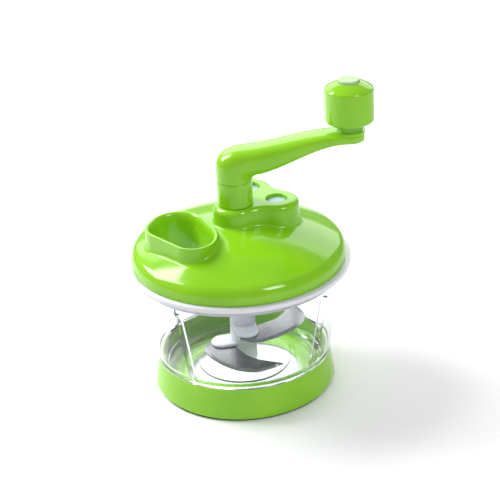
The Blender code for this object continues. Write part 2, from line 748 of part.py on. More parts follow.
def make_bowl():
    rim, lip_bottom = BOWL_RIM_HEIGHT, BOWL_RIM_HEIGHT - BOWL_LIP_HEIGHT
    foot_top_inner = BOWL_FOOT_RADIUS - BOWL_WALL
    foot_bottom_radius = BOWL_FOOT_RADIUS - BOWL_FOOT_INSET
    shelf = BOWL_STEP_BOTTOM + BOWL_STEP_RISE
    corners = [
        (PIN_RADIUS + GAP, PIN_SEAT),
        (PIN_RADIUS + GAP, BOSS_TOP),
        (BOSS_RADIUS, BOSS_TOP),
        (BOSS_RADIUS, PLATEAU_TOP),
        (PLATEAU_RADIUS, PLATEAU_TOP),
        (PLATEAU_RADIUS, FLOOR_TOP),
        (foot_top_inner, FLOOR_TOP, BOWL_CORNER_ROUND),
        (foot_top_inner, shelf - BOWL_STEP_SLOPE, BOWL_STEP_ROUND / 2),
        (bowl_inner_radius(shelf), shelf, BOWL_STEP_ROUND),
        (bowl_inner_radius(rim), rim, BOWL_LIP_ROUND),
        (bowl_outer_radius(rim) + BOWL_LIP_PROUD, rim, BOWL_LIP_ROUND),
        (bowl_outer_radius(lip_bottom) + BOWL_LIP_PROUD, lip_bottom),
        (bowl_outer_radius(lip_bottom), lip_bottom - BOWL_LIP_PROUD),
        (bowl_outer_radius(BOWL_STEP_BOTTOM), BOWL_STEP_BOTTOM, BOWL_LIP_ROUND),
        (BOWL_FOOT_RADIUS, BOWL_STEP_BOTTOM),
        (foot_bottom_radius, BOWL_FOOT_BOTTOM, BOWL_LIP_ROUND),
        (foot_bottom_radius - BOWL_WALL, BOWL_FOOT_BOTTOM),
        (foot_bottom_radius - BOWL_WALL, FLOOR_UNDERSIDE),
    ]
    profile = [(0, PIN_SEAT)] + filleted(corners, closed=False) + [(0, FLOOR_UNDERSIDE)]
    bowl = turned("bowl", profile, closed=False)
    return joined(bowl, *[make_rib(i) for i in range(RIB_COUNT)])


def make_rib(index):
    """One upright rib inside the bowl's wall, sunk into the wall and the floor."""
    low = FLOOR_TOP - SINK
    high = RIB_TOP
    outline = filleted(
        [
            (bowl_inner_radius(low) - RIB_PROUD, low),
            (foot_inner_limit(), low),
            (foot_inner_limit(), BOWL_STEP_BOTTOM),
            (bowl_inner_radius(BOWL_STEP_BOTTOM + BOWL_STEP_RISE) + SINK, BOWL_STEP_BOTTOM + BOWL_STEP_RISE),
            (bowl_inner_radius(high) + SINK, high),
            (bowl_inner_radius(high) - RIB_PROUD, high, RIB_PROUD * 0.8),
        ]
    )
    rib = flat_solid(f"rib_{index + 1}", outline, -RIB_THICKNESS / 2, RIB_THICKNESS / 2)
    bearing = RIB_FIRST_BEARING + 2 * math.pi * index / RIB_COUNT
    upright = Matrix.Rotation(math.pi / 2, 4, "X")
    rib.data.transform(Matrix.Rotation(bearing, 4, "Z") @ upright)
    return rib


def foot_inner_limit():
    return BOWL_FOOT_RADIUS - BOWL_FOOT_INSET - SINK


def make_pivot_pin():
    corners = [
        (0, PIN_TOP),
        (PIN_RADIUS - PIN_POINT, PIN_TOP),
        (PIN_RADIUS, PIN_TOP - PIN_POINT),
        (PIN_RADIUS, PIN_BOTTOM),
        (0, PIN_BOTTOM),
    ]
    return turned("pivot_pin", corners, closed=False, steps=SMALL_STEPS)


# Blade unit


def make_blade_column():
    corners = [
        (0, COLUMN_TOP),
        (COLUMN_RADIUS, COLUMN_TOP, COLUMN_ROUND),
        (COLUMN_RADIUS, UPPER_BLADE_HEIGHT),
        (COLUMN_FOOT_RADIUS, COLUMN_BOTTOM, COLUMN_ROUND),
        (0, COLUMN_BOTTOM),
    ]
    column = turned("blade_column", filleted(corners, closed=False), False, MEDIUM_STEPS)
    arms = []
    slots = []
    for bearing, height in (
        (LOWER_BLADE_BEARING, LOWER_BLADE_HEIGHT),
        (UPPER_BLADE_BEARING, UPPER_BLADE_HEIGHT),
    ):
        half = ARM_THICKNESS / 2
        side = ARM_WIDTH / 2
        end = Vector((ARM_REACH - side, 0))
        outline = [Vector((0, -side))] + arc(end, side, -math.pi / 2, math.pi / 2, 10)
        outline.append(Vector((0, side)))
        arm = flat_solid("arm", outline, height - half, height + half)
        arm.data.transform(Matrix.Rotation(bearing, 4, "Z"))
        arms.append(arm)
        gap = BLADE_THICKNESS / 2 + GAP
        far = ARM_REACH + OVERRUN
        wide = side + OVERRUN
        around = arc(CRANK_AXIS, ARM_SLOT_START, math.pi / 2, -math.pi / 2, 10)
        mouth = [Vector((0, -wide)), Vector((far, -wide)), Vector((far, wide)), Vector((0, wide))]
        slot = flat_solid("arm_slot", mouth + around, height - gap, height + gap)
        slot.data.transform(Matrix.Rotation(bearing, 4, "Z"))
        slots.append(slot)
    joined(column, *arms)
    bore = cylinder(
        "pin_bore", PIN_RADIUS + GAP, COLUMN_BOTTOM - OVERRUN, PIN_TOP + SINK, sides=SMALL_STEPS
    )
    socket = cylinder(
        "driver_socket",
        DRIVER_CORNER_RADIUS + GAP,
        SOCKET_BOTTOM,
        COLUMN_TOP + OVERRUN,
        sides=HEX_SIDES,
    )
    return cut(column, bore, socket, *slots)


def blade_edges():
    """The sickle's outer and inner edges, from root to tip, for a blade whose arm lies along +X."""
    reach = BLADE_REACH
    outer_shares = ((0.50, -0.14), (0.65, 0.12), (0.545, 0.505), (0.31, 0.845))
    far_shares = ((0.03, 1.0), (-0.22, 0.965), (-0.43, 0.885))
    inner_shares = ((0.215, -0.11), (0.233, 0.03), (0.178, 0.158), (0.118, 0.322), (0.04, 0.512))
    tip_shares = ((-0.125, 0.69), (-0.43, 0.885))
    outer = [Vector(share) * reach for share in outer_shares + far_shares]
    inner = [Vector(share) * reach for share in inner_shares + tip_shares]
    return smooth_path(outer, 3), smooth_path(inner, 3)


def make_blade(name, bearing, height):
    """A sickle blade: flat below, ground from above along its outer edge."""
    outer, inner = blade_edges()
    ground = []
    count = len(outer)
    for i, point in enumerate(outer):
        before, after = outer[max(0, i - 1)], outer[min(count - 1, i + 1)]
        step = (after - before).normalized()
        width = BLADE_GRIND_WIDTH * min(1, (count - 1 - i) / 4)
        ground.append(point + Vector((-step.y, step.x)) * width)
    half = BLADE_THICKNESS / 2
    back = list(reversed(inner[:-1]))
    rings = [
        ring_at(outer + back, height - half),
        ring_at(outer + back, height - half + BLADE_EDGE_THICKNESS),
        ring_at(ground + back, height + half),
    ]
    blade = lofted(name, rings)
    blade.data.transform(Matrix.Rotation(bearing, 4, "Z"))
    return blade


# Lid plate and what it carries


def make_lid_plate():
    top, low = LID_PLATE_TOP, LID_PLATE_BOTTOM
    skirt = FLANGE_RADIUS - FLANGE_SKIRT_WALL
    rim = COVER_RADIUS - COVER_WALL - GAP
    groove = SEAL_RADIUS - SEAL_WIDTH - GAP
    corners = [
        (0, top),
        (rim - LOCATING_RIM_WALL, top),
        (rim - LOCATING_RIM_WALL, top + LOCATING_RIM_HEIGHT),
        (rim, top + LOCATING_RIM_HEIGHT),
        (rim, top),
        (FLANGE_RADIUS, top, FLANGE_ROUND),
        (FLANGE_RADIUS, low - FLANGE_SKIRT_DEPTH, FLANGE_ROUND / 2),
        (skirt, low - FLANGE_SKIRT_DEPTH),
        (skirt, low),
        (PLUG_RADIUS, low),
        (PLUG_RADIUS, SEAL_TOP + GAP),
        (groove, SEAL_TOP + GAP),
        (groove, SEAL_BOTTOM - GAP),
        (PLUG_RADIUS, SEAL_BOTTOM - GAP),
        (PLUG_RADIUS, PLUG_BOTTOM, FLANGE_ROUND),
        (PLUG_RADIUS - PLUG_WALL, PLUG_BOTTOM),
        (PLUG_RADIUS - PLUG_WALL, low),
        (0, low),
    ]
    plate = turned("lid_plate", filleted(corners, closed=False, steps=1), closed=False)
    under, over = low - OVERRUN, top + OVERRUN
    drive_hole = cylinder("drive_hole", bush_body_radius() + GAP, under, over)
    opening = chute_outline(CHUTE_CLEARANCE - chute_shaft_inset())
    chute_hole = flat_solid("chute_hole", opening, under, over)
    cut(plate, drive_hole, chute_hole)
    for place in lid_screw_places():
        hole = cylinder("screw_hole", SCREW_RADIUS + GAP, under, over, place, SMALL_STEPS)
        cut(plate, hole)
    return plate


def bush_body_radius():
    return DRIVE_SHAFT_RADIUS + GAP + BUSH_WALL


def chute_shaft_inset():
    return CHUTE_LIP + CHUTE_FUNNEL_WIDTH - CHUTE_WALL


def lid_screw_places():
    step = 2 * math.pi / LID_SCREW_COUNT
    bearings = [LID_SCREW_FIRST_BEARING + step * i for i in range(LID_SCREW_COUNT)]
    return [along(bearing, LID_SCREW_CIRCLE) for bearing in bearings]


def make_lid_seal():
    corners = [
        (SEAL_RADIUS, SEAL_TOP, SEAL_ROUND),
        (SEAL_RADIUS, SEAL_BOTTOM, SEAL_ROUND),
        (SEAL_RADIUS - SEAL_WIDTH, SEAL_BOTTOM),
        (SEAL_RADIUS - SEAL_WIDTH, SEAL_TOP),
    ]
    return turned("lid_seal", filleted(corners, steps=1), closed=True)


def make_drive_bush():
    body = bush_body_radius()
    flange_top = LID_PLATE_BOTTOM - GAP
    flange_bottom = flange_top - BUSH_FLANGE_THICKNESS
    corners = [
        (body, LID_PLATE_TOP + GEAR_PLATE_RISE - GEAR_RUNNING_GAP),
        (body, flange_top),
        (body + BUSH_FLANGE_WIDTH, flange_top),
        (body + BUSH_FLANGE_WIDTH, flange_bottom),
        (DRIVE_SHAFT_RADIUS + GAP, flange_bottom),
        (DRIVE_SHAFT_RADIUS + GAP, LID_PLATE_TOP + GEAR_PLATE_RISE - GEAR_RUNNING_GAP),
    ]
    return turned("drive_bush", corners, closed=True, steps=MEDIUM_STEPS)


def make_crank_bush():
    body = CRANK_HOLE_RADIUS - GAP
    bore = SPINDLE_CORNER_RADIUS + GAP
    corners = [
        (body, HUMP_TOP),
        (body, CRANK_BUSH_FLANGE_TOP),
        (body + BUSH_FLANGE_WIDTH, CRANK_BUSH_FLANGE_TOP),
        (body + BUSH_FLANGE_WIDTH, CRANK_BUSH_BOTTOM),
        (bore, CRANK_BUSH_BOTTOM),
        (bore, HUMP_TOP),
    ]
    return turned("crank_bush", corners, closed=True, steps=MEDIUM_STEPS)


# Lid cover


def make_lid_cover():
    """The dome with its hump and its feed chute, cored from below."""
    cover = turned("lid_cover", dome_profile(0, COVER_BOTTOM), closed=False)
    hump = wall_on_dome("hump", hump_outline, HUMP_TOP, HUMP_FOOT_ROUND, HUMP_TOP_ROUND)
    chute = wall_on_dome(
        "chute", chute_outline, CHUTE_TOP, CHUTE_FOOT_ROUND, CHUTE_LIP_ROUND
    )
    joined(cover, hump, chute)
    core = turned("core", dome_profile(COVER_WALL, COVER_BOTTOM - OVERRUN), closed=False)
    cut(cover, core, make_hump_core())
    shaft = lofted(
        "chute_shaft",
        [
            ring_at(chute_outline(-chute_shaft_inset()), height)
            for height in (CHUTE_BOTTOM, CHUTE_TOP - CHUTE_FUNNEL_DEPTH / 2)
        ],
    )
    joined(cover, shaft, *make_cover_collars())
    cut(cover, make_chute_passage(), *make_cover_holes())
    return cover


def make_hump_core():
    low = GEAR_PLATE_TOP
    round_in = HUMP_TOP_ROUND - COVER_WALL
    lean = (HUMP_CEILING - DOME_APEX) * math.tan(WALL_DRAFT)
    rings = [ring_at(hump_outline(-COVER_WALL), height) for height in (low, DOME_APEX)]
    for i in range(EDGE_STEPS):
        angle = i / (EDGE_STEPS - 1) * math.pi / 2
        inward = COVER_WALL + lean + round_in * (1 - math.cos(angle))
        height = HUMP_CEILING - round_in * (1 - math.sin(angle))
        rings.append(ring_at(hump_outline(-inward), height))
    return lofted("hump_core", rings)


def make_cover_collars():
    """Collars that guide the hubs, and bosses that take the screws."""
    inside = HUMP_CEILING + SINK
    collars = [
        cylinder("crank_collar", CRANK_HOLE_RADIUS + COLLAR_WALL, CRANK_COLLAR_BOTTOM, inside)
    ]
    for place in (FIRST_AXIS, SECOND_AXIS):
        radius = SATELLITE_HOLE_RADIUS + COLLAR_WALL
        collars.append(cylinder("collar", radius, SATELLITE_COLLAR_BOTTOM, inside, place))
    bosses = [(place, COVER_BOTTOM) for place in lid_screw_places()]
    bosses += [(place, GEAR_PLATE_TOP + GAP) for place in gear_plate_screw_places()]
    for place, bottom in bosses:
        top = dome_height(place.length, COVER_WALL) + SINK
        collars.append(cylinder("boss", SCREW_BOSS_RADIUS, bottom, top, place, SMALL_STEPS))
    return collars


def make_cover_holes():
    over = HUMP_TOP + OVERRUN
    under = CRANK_COLLAR_BOTTOM - OVERRUN
    holes = [cylinder("crank_hole", CRANK_HOLE_RADIUS, under, over)]
    for place in (FIRST_AXIS, SECOND_AXIS):
        holes.append(cylinder("satellite_hole", SATELLITE_HOLE_RADIUS, under, over, place))
    bosses = [(place, COVER_BOTTOM) for place in lid_screw_places()]
    bosses += [(place, GEAR_PLATE_TOP + GAP) for place in gear_plate_screw_places()]
    for place, bottom in bosses:
        holes.append(
            cylinder(
                "screw_bore",
                SCREW_RADIUS + GAP,
                bottom - OVERRUN,
                bottom + SCREW_REACH + GAP,
                place,
                SMALL_STEPS,
            )
        )
    return holes


def make_chute_passage():
    """The funnel under the lip, then the straight shaft down to the bowl."""
    wide = -CHUTE_LIP
    narrow = -CHUTE_LIP - CHUTE_FUNNEL_WIDTH
    neck = CHUTE_TOP - CHUTE_FUNNEL_DEPTH
    rings = [
        ring_at(chute_outline(narrow), CHUTE_BOTTOM - OVERRUN),
        ring_at(chute_outline(narrow), neck),
    ]
    for share in (0.35, 0.7, 1.0):
        angle = share * math.pi / 2
        out = narrow + CHUTE_FUNNEL_WIDTH * (1 - math.cos(angle))
        rings.append(ring_at(chute_outline(out), neck + CHUTE_FUNNEL_DEPTH * math.sin(angle)))
    rings.append(ring_at(chute_outline(wide), CHUTE_TOP + OVERRUN))
    return lofted("chute_passage", rings)


# Gear plate and gear train


def gear_plate_screw_places():
    """Beside the middle of each side of the triangle of gears, clear of the wheels."""
    places = []
    for i, here in enumerate(GEAR_AXES):
        middle = (GEAR_AXES[i - 1] + here) / 2
        outward = (middle - GEAR_PLATE_CENTRE).normalized()
        places.append(middle + outward * GEAR_PLATE_SCREW_OUT)
    return places


def make_gear_plate():
    plate = cylinder(
        "gear_plate",
        GEAR_PLATE_RADIUS,
        GEAR_PLATE_BOTTOM,
        GEAR_PLATE_TOP,
        GEAR_PLATE_CENTRE,
        RING_STEPS,
    )
    under = GEAR_PLATE_BOTTOM - AXLE_BOSS_LENGTH
    over = GEAR_PLATE_TOP + OVERRUN
    inside = GEAR_PLATE_BOTTOM + SINK
    for place in (FIRST_AXIS, SECOND_AXIS):
        joined(plate, cylinder("axle_boss", AXLE_BOSS_RADIUS, under, inside, place))
    below = under - OVERRUN
    cut(plate, cylinder("shaft_hole", DRIVE_SHAFT_RADIUS + GAP, below, over))
    for place in (FIRST_AXIS, SECOND_AXIS):
        cut(plate, cylinder("axle_hole", AXLE_RADIUS + GAP, below, over, place, SMALL_STEPS))
    for place in gear_plate_screw_places():
        cut(plate, cylinder("screw_hole", SCREW_RADIUS + GAP, below, over, place, SMALL_STEPS))
    return plate


def make_screw(name, seat):
    """A pan-head screw that points up, its head just under the seat."""
    top = seat - GAP
    tip = seat + SCREW_REACH - SCREW_TIP
    corners = [
        (0, tip),
        (SCREW_RADIUS - SCREW_TIP, tip),
        (SCREW_RADIUS, tip - SCREW_TIP),
        (SCREW_RADIUS, top),
        (SCREW_HEAD_RADIUS, top),
        (SCREW_HEAD_RADIUS, top - SCREW_HEAD_HEIGHT, SCREW_HEAD_ROUND),
        (0, top - SCREW_HEAD_HEIGHT),
    ]
    return turned(name, filleted(corners, closed=False, steps=2), False, SMALL_STEPS)


def make_axle_pin(name):
    low = GEAR_PLATE_BOTTOM - AXLE_BOSS_LENGTH + GAP
    high = CLUSTER_BORE_TOP - GAP
    return cylinder(name, AXLE_RADIUS, low, high, sides=SMALL_STEPS)


def make_gear(name, teeth, turn, bottom):
    outline = gear_outline(teeth, turn, CRANK_AXIS)
    return flat_solid(name, outline, bottom, bottom + GEAR_FACE)


def make_cluster_gear(name, pinion_turn, pinion_level, wheel_level):
    """Pinion above, wheel below, on one hub that shows through the hump's hole."""
    gear = make_gear(name, WHEEL_TEETH, 0.0, wheel_level)
    pinion = make_gear("pinion", PINION_TEETH, pinion_turn, pinion_level)
    hub = cylinder("hub", CLUSTER_HUB_RADIUS, wheel_level + SINK, CLUSTER_TOP)
    foot_bottom = GEAR_PLATE_TOP + GAP
    foot = cylinder("foot", CLUSTER_FOOT_RADIUS, foot_bottom, wheel_level + SINK * 2)
    joined(gear, pinion, hub, foot)
    under = foot_bottom - OVERRUN
    bore = cylinder("bore", AXLE_RADIUS + GAP, under, CLUSTER_BORE_TOP, sides=SMALL_STEPS)
    return cut(gear, bore)


def make_input_gear():
    gear = make_gear("input_gear", WHEEL_TEETH, 0.0, HIGH_LEVEL)
    hub = cylinder("hub", INPUT_HUB_RADIUS, HIGH_LEVEL + SINK, INPUT_HUB_TOP)
    joined(gear, hub)
    corner = SPINDLE_CORNER_RADIUS + GAP
    over = INPUT_HUB_TOP + OVERRUN
    return cut(gear, cylinder("hex", corner, HIGH_LEVEL - OVERRUN, over, sides=HEX_SIDES))


def make_output_gear(turn):
    """Pinion, shaft and six-sided driver in one moulding."""
    gear = make_gear("output_gear", PINION_TEETH, turn, LOW_LEVEL)
    hub = cylinder("hub", OUTPUT_HUB_RADIUS, LOW_LEVEL + SINK, OUTPUT_HUB_TOP)
    shaft = cylinder("shaft", DRIVE_SHAFT_RADIUS, SHAFT_BOTTOM, LOW_LEVEL + SINK)
    driver = cylinder(
        "driver", DRIVER_CORNER_RADIUS, DRIVER_BOTTOM, SHAFT_BOTTOM + SINK, sides=HEX_SIDES
    )
    joined(gear, hub, shaft, driver)
    over = OUTPUT_HUB_TOP + OVERRUN
    return cut(gear, cylinder("pilot_bore", SPINDLE_PILOT_RADIUS + GAP, PILOT_SEAT, over))


# Crank and knob


def make_crank_spindle():
    spindle = cylinder(
        "crank_spindle", SPINDLE_CORNER_RADIUS, HIGH_LEVEL, SPINDLE_TOP, sides=HEX_SIDES
    )
    pilot = cylinder("pilot", SPINDLE_PILOT_RADIUS, PILOT_SEAT + GAP, HIGH_LEVEL + SINK)
    return joined(spindle, pilot)


def make_retaining_ring():
    corners = [
        (RETAINER_RADIUS, RETAINER_TOP),
        (RETAINER_RADIUS, RETAINER_BOTTOM),
        (SPINDLE_PILOT_RADIUS + GAP, RETAINER_BOTTOM),
        (SPINDLE_PILOT_RADIUS + GAP, RETAINER_TOP),
    ]
    return turned("retaining_ring", corners, closed=True, steps=MEDIUM_STEPS)


def make_crank_hub():
    corners = [
        (0, HUB_TOP),
        (HUB_RADIUS, HUB_TOP, HUB_EDGE_ROUND),
        (HUB_RADIUS, HUB_BOTTOM, HUB_EDGE_ROUND),
        (0, HUB_BOTTOM),
    ]
    hub = turned("crank_hub", filleted(corners, closed=False), False, MEDIUM_STEPS)
    corner = SPINDLE_CORNER_RADIUS + GAP
    under, over = HUB_BOTTOM - OVERRUN, HUB_TOP + OVERRUN
    return cut(hub, cylinder("hex", corner, under, over, sides=HEX_SIDES))


def eased(start, end, start_slope, x):
    """Height at x on a curve from start, with a slope there, to end, where it is level."""
    span = end.x - start.x
    share = min(1.0, max(0.0, (x - start.x) / span))
    blend = share * share * (3 - 2 * share)
    lead = share * (1 - share) ** 2 * span * start_slope
    return start.y + (end.y - start.y) * blend + lead


def arm_stations():
    """Underside point, crown point, half width and squareness of each section of the arm."""
    base = ARM_BOTTOM
    inner = Vector((HUB_RADIUS + ELBOW_INNER_OFFSET, base + ARM_START_UNDERSIDE_RISE))
    inner_centre = inner - Vector((0, ELBOW_INNER_ROUND))
    crown = Vector((ELBOW_OUTER_LENGTH - HUB_RADIUS, base + ELBOW_CROWN_RISE))
    corner_rise = ELBOW_CROWN_RISE - ELBOW_OUTER_RISE
    level = Vector((CRANK_THROW - ARM_UNDERSIDE_LEVEL_BACK, PAD_UNDERSIDE))
    crown_level = Vector((CRANK_THROW - ARM_CROWN_LEVEL_BACK, PAD_CROWN))
    stations = [(Vector((HUB_RADIUS, base)), Vector((-HUB_RADIUS, base)), HUB_RADIUS, 2.0)]
    for share in (0.16, 0.33, 0.5, 0.68, 0.84):
        angle = share * math.pi / 2
        under = inner_centre + along(math.pi - angle, ELBOW_INNER_ROUND)
        over = crown - Vector(
            (ELBOW_OUTER_LENGTH * math.cos(angle), corner_rise * (1 - math.sin(angle)))
        )
        stations.append((under, over, HUB_RADIUS, 2.0 + share))
    straight = CRANK_THROW - inner.x
    for i in range(9):
        x = inner.x + straight * i / 8
        lean = (8 - i) / 8 * ELBOW_INNER_OFFSET
        under = Vector((x, eased(inner, level, ARM_UNDERSIDE_START_SLOPE, x)))
        over_x = x - lean
        over = Vector((over_x, eased(crown, crown_level, ARM_CROWN_START_SLOPE, over_x)))
        half = HUB_RADIUS + (PAD_RADIUS - HUB_RADIUS) * i / 8
        stations.append((under, over, half, 3.2))
    for share in (0.3, 0.55, 0.77, 0.93):
        angle = share * math.pi / 2
        x = CRANK_THROW + PAD_RADIUS * math.sin(angle)
        tuck = PAD_END_ROUND * share**4
        under = Vector((x, PAD_UNDERSIDE + tuck))
        over = Vector((x, PAD_CROWN - tuck))
        stations.append((under, over, PAD_RADIUS * math.cos(angle), 3.2))
    return stations


def arm_section(under, over, half_width, squareness, count=20):
    """A rounded section whose height runs from the underside point to the crown point."""
    middle = (under + over) / 2
    half_height = (over - under) / 2
    ring = []
    for i in range(count):
        angle = 2 * math.pi * i / count
        cos, sin = math.cos(angle), math.sin(angle)
        across = math.copysign(abs(cos) ** (2 / squareness), cos)
        up = math.copysign(abs(sin) ** (2 / squareness), sin)
        place = middle + half_height * up
        ring.append((place.x, half_width * across, place.y))
    return ring


def make_crank_arm():
    arm = lofted("crank_arm", [arm_section(*station) for station in arm_stations()])
    joined(arm, cylinder("neck", NECK_RADIUS, PAD_CROWN - OVERRUN, NECK_TOP, KNOB_AXIS))
    corner = SPINDLE_CORNER_RADIUS + GAP
    under = ARM_BOTTOM - OVERRUN
    socket = cylinder("socket", corner, under, SPINDLE_TOP + GAP, sides=HEX_SIDES)
    pin_hole = cylinder(
        "pin_hole",
        KNOB_PIN_RADIUS + GAP,
        PAD_UNDERSIDE + KNOB_PIN_ROOT,
        NECK_TOP + OVERRUN,
        KNOB_AXIS,
    )
    return cut(arm, socket, pin_hole)


def make_knob_pin():
    corners = [
        (0, KNOB_PIN_HEAD_TOP),
        (KNOB_PIN_HEAD_RADIUS, KNOB_PIN_HEAD_TOP, SCREW_HEAD_ROUND),
        (KNOB_PIN_HEAD_RADIUS, KNOB_PIN_HEAD_BOTTOM),
        (KNOB_PIN_RADIUS, KNOB_PIN_HEAD_BOTTOM),
        (KNOB_PIN_RADIUS, PAD_UNDERSIDE + KNOB_PIN_ROOT + GAP),
        (0, PAD_UNDERSIDE + KNOB_PIN_ROOT + GAP),
    ]
    return turned("knob_pin", filleted(corners, closed=False), False, MEDIUM_STEPS)


def make_knob():
    rise = KNOB_DOME_RISE
    sphere = (KNOB_RADIUS**2 + rise**2) / (2 * rise)
    centre = Vector((0, KNOB_APEX - sphere))
    edge = math.asin((KNOB_SHOULDER - centre.y) / sphere)
    dome = arc(centre, sphere, math.pi / 2, edge, 6)
    corners = [(point.x, point.y) for point in dome[:-1]]
    corners += [
        (KNOB_RADIUS, KNOB_SHOULDER, KNOB_SHOULDER_ROUND),
        (KNOB_RADIUS, KNOB_BOTTOM, KNOB_FOOT_ROUND),
        (0, KNOB_BOTTOM),
    ]
    knob = turned("knob", filleted(corners, closed=False), False, MEDIUM_STEPS)
    pin_bore = cylinder(
        "pin_bore", KNOB_PIN_RADIUS + GAP, KNOB_BOTTOM - OVERRUN, KNOB_PIN_SEAT + SINK
    )
    pocket = cylinder("pocket", CAP_RADIUS + GAP, KNOB_PIN_SEAT, KNOB_APEX + OVERRUN)
    return cut(knob, pin_bore, pocket)


def make_knob_cap():
    corners = [
        (0, CAP_TOP),
        (CAP_RADIUS, CAP_TOP, CAP_ROUND),
        (CAP_RADIUS, CAP_BOTTOM),
        (0, CAP_BOTTOM),
    ]
    return turned("knob_cap", filleted(corners, closed=False), False, MEDIUM_STEPS)


# The whole chopper


def build():
    clear_scene()
    new_collection(COLLECTION, hidden=False)
    new_collection(CUTTERS, hidden=True)
    lime = new_material("lime_abs", LIME, 0.18, 0.0)
    cap_green = new_material("satin_green_abs", SATIN_GREEN, 0.35, 0.0)
    pale = new_material("pale_grey_abs", PALE_GREY, 0.25, 0.0)
    nylon = new_material("white_nylon", WHITE_NYLON, 0.45, 0.0)
    hub_nylon = new_material("blue_grey_nylon", BLUE_GREY_NYLON, 0.45, 0.0)
    clear = new_material("clear_polystyrene", CLEAR, 0.05, 0.0)
    steel = new_material("stainless_steel", STEEL, 0.25, 1.0)
    rubber = new_material("dark_rubber", DARK_RUBBER, 0.7, 0.0)
    silicone = new_material("clear_silicone", CLEAR_SILICONE, 0.4, 0.0)

    bowl_axis = axis_empty("bowl_axis", Vector((BOWL_AXIS_X, 0)), None)
    finished(make_base_ring(), lime, bowl_axis)
    finished(make_non_slip_ring(), rubber, bowl_axis)
    finished(make_bowl(), clear, bowl_axis)
    finished(make_pivot_pin(), steel, bowl_axis)

    blade_axis = axis_empty("blade_axis", CRANK_AXIS, bowl_axis)
    finished(make_blade_column(), pale, blade_axis)
    lower = make_blade("lower_blade", LOWER_BLADE_BEARING, LOWER_BLADE_HEIGHT)
    upper = make_blade("upper_blade", UPPER_BLADE_BEARING, UPPER_BLADE_HEIGHT)
    finished(lower, steel, blade_axis)
    finished(upper, steel, blade_axis)

    lid_axis = axis_empty("lid_axis", CRANK_AXIS, bowl_axis)
    finished(make_lid_plate(), pale, lid_axis)
    finished(make_lid_seal(), silicone, lid_axis)
    finished(make_lid_cover(), lime, lid_axis)
    finished(make_gear_plate(), nylon, lid_axis)
    finished(make_drive_bush(), nylon, lid_axis)
    finished(make_crank_bush(), nylon, lid_axis)
    for i, place in enumerate(gear_plate_screw_places()):
        screw = make_screw(f"gear_plate_screw_{i + 1}", GEAR_PLATE_BOTTOM)
        finished(screw, steel, lid_axis).location.xy = place
    for i, place in enumerate(lid_screw_places()):
        screw = make_screw(f"lid_screw_{i + 1}", LID_PLATE_BOTTOM)
        finished(screw, steel, lid_axis).location.xy = place
    for i, place in enumerate((FIRST_AXIS, SECOND_AXIS)):
        pin = make_axle_pin(f"axle_pin_{i + 1}")
        finished(pin, steel, lid_axis).location.xy = place

    second_bearing = bearing_of(SECOND_AXIS - FIRST_AXIS)
    third_bearing = bearing_of(-SECOND_AXIS)
    first_turn = meshing_turn(0.0, FIRST_LOBE_BEARING)
    second_turn = meshing_turn(0.0, second_bearing)
    third_turn = meshing_turn(0.0, third_bearing)
    first_gear_axis = axis_empty("first_gear_axis", FIRST_AXIS, lid_axis)
    second_gear_axis = axis_empty("second_gear_axis", SECOND_AXIS, lid_axis)
    drive_axis = axis_empty("drive_axis", CRANK_AXIS, lid_axis)
    first = make_cluster_gear("cluster_gear_1", first_turn, HIGH_LEVEL, MIDDLE_LEVEL)
    second = make_cluster_gear("cluster_gear_2", second_turn, MIDDLE_LEVEL, LOW_LEVEL)
    finished(first, hub_nylon, first_gear_axis)
    finished(second, hub_nylon, second_gear_axis)
    finished(make_output_gear(third_turn), nylon, drive_axis)

    crank_axis = axis_empty("crank_axis", CRANK_AXIS, lid_axis)
    finished(make_input_gear(), nylon, crank_axis)
    finished(make_crank_spindle(), steel, crank_axis)
    finished(make_retaining_ring(), steel, crank_axis)
    finished(make_crank_hub(), lime, crank_axis)
    finished(make_crank_arm(), lime, crank_axis)
    finished(make_knob_pin(), steel, crank_axis).location.xy = KNOB_AXIS

    knob_axis = axis_empty("knob_axis", KNOB_AXIS, crank_axis)
    finished(make_knob(), lime, knob_axis)
    finished(make_knob_cap(), cap_green, knob_axis)


build()
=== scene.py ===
import math

import bmesh
import bpy
from mathutils import Matrix, Vector


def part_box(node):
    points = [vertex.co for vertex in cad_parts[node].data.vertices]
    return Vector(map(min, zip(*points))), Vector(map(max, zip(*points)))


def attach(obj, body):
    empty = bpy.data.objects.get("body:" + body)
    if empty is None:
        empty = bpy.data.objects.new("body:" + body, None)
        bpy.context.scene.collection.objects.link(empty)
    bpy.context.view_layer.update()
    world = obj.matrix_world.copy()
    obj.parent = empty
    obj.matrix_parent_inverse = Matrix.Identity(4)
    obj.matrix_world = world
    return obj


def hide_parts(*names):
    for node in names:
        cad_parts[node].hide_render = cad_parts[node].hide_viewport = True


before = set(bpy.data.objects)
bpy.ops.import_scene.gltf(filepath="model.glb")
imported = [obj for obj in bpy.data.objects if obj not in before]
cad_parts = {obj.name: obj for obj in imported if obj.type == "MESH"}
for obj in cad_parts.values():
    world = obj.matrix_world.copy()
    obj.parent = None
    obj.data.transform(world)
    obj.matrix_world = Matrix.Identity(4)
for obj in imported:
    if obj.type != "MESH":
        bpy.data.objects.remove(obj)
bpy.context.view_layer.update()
print("frame loaded")

# All lengths are in metres. Pieces are shaped round the bowl's axis, then moved to it as a whole.
settings = {
    "gap": 0.0003,
    "overrun": 0.002,
    "sink": 0.001,
    "weld": 0.0000003,
    "copyWeld": 0.000003,
    "sharp": 32,
    "roundSteps": 96,
    "ringSteps": 224,
    "smallSteps": 64,
    "arcStep": math.radians(7),
}
gap = settings["gap"]
overrun = settings["overrun"]
sink = settings["sink"]
weld = settings["weld"]


def centreOf(node):
    low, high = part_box(node)
    return (low + high) / 2


def bottomOf(node):
    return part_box(node)[0].z


def topOf(node):
    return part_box(node)[1].z


bowlAxis = centreOf("pivot_pin").xy


# Points and outlines


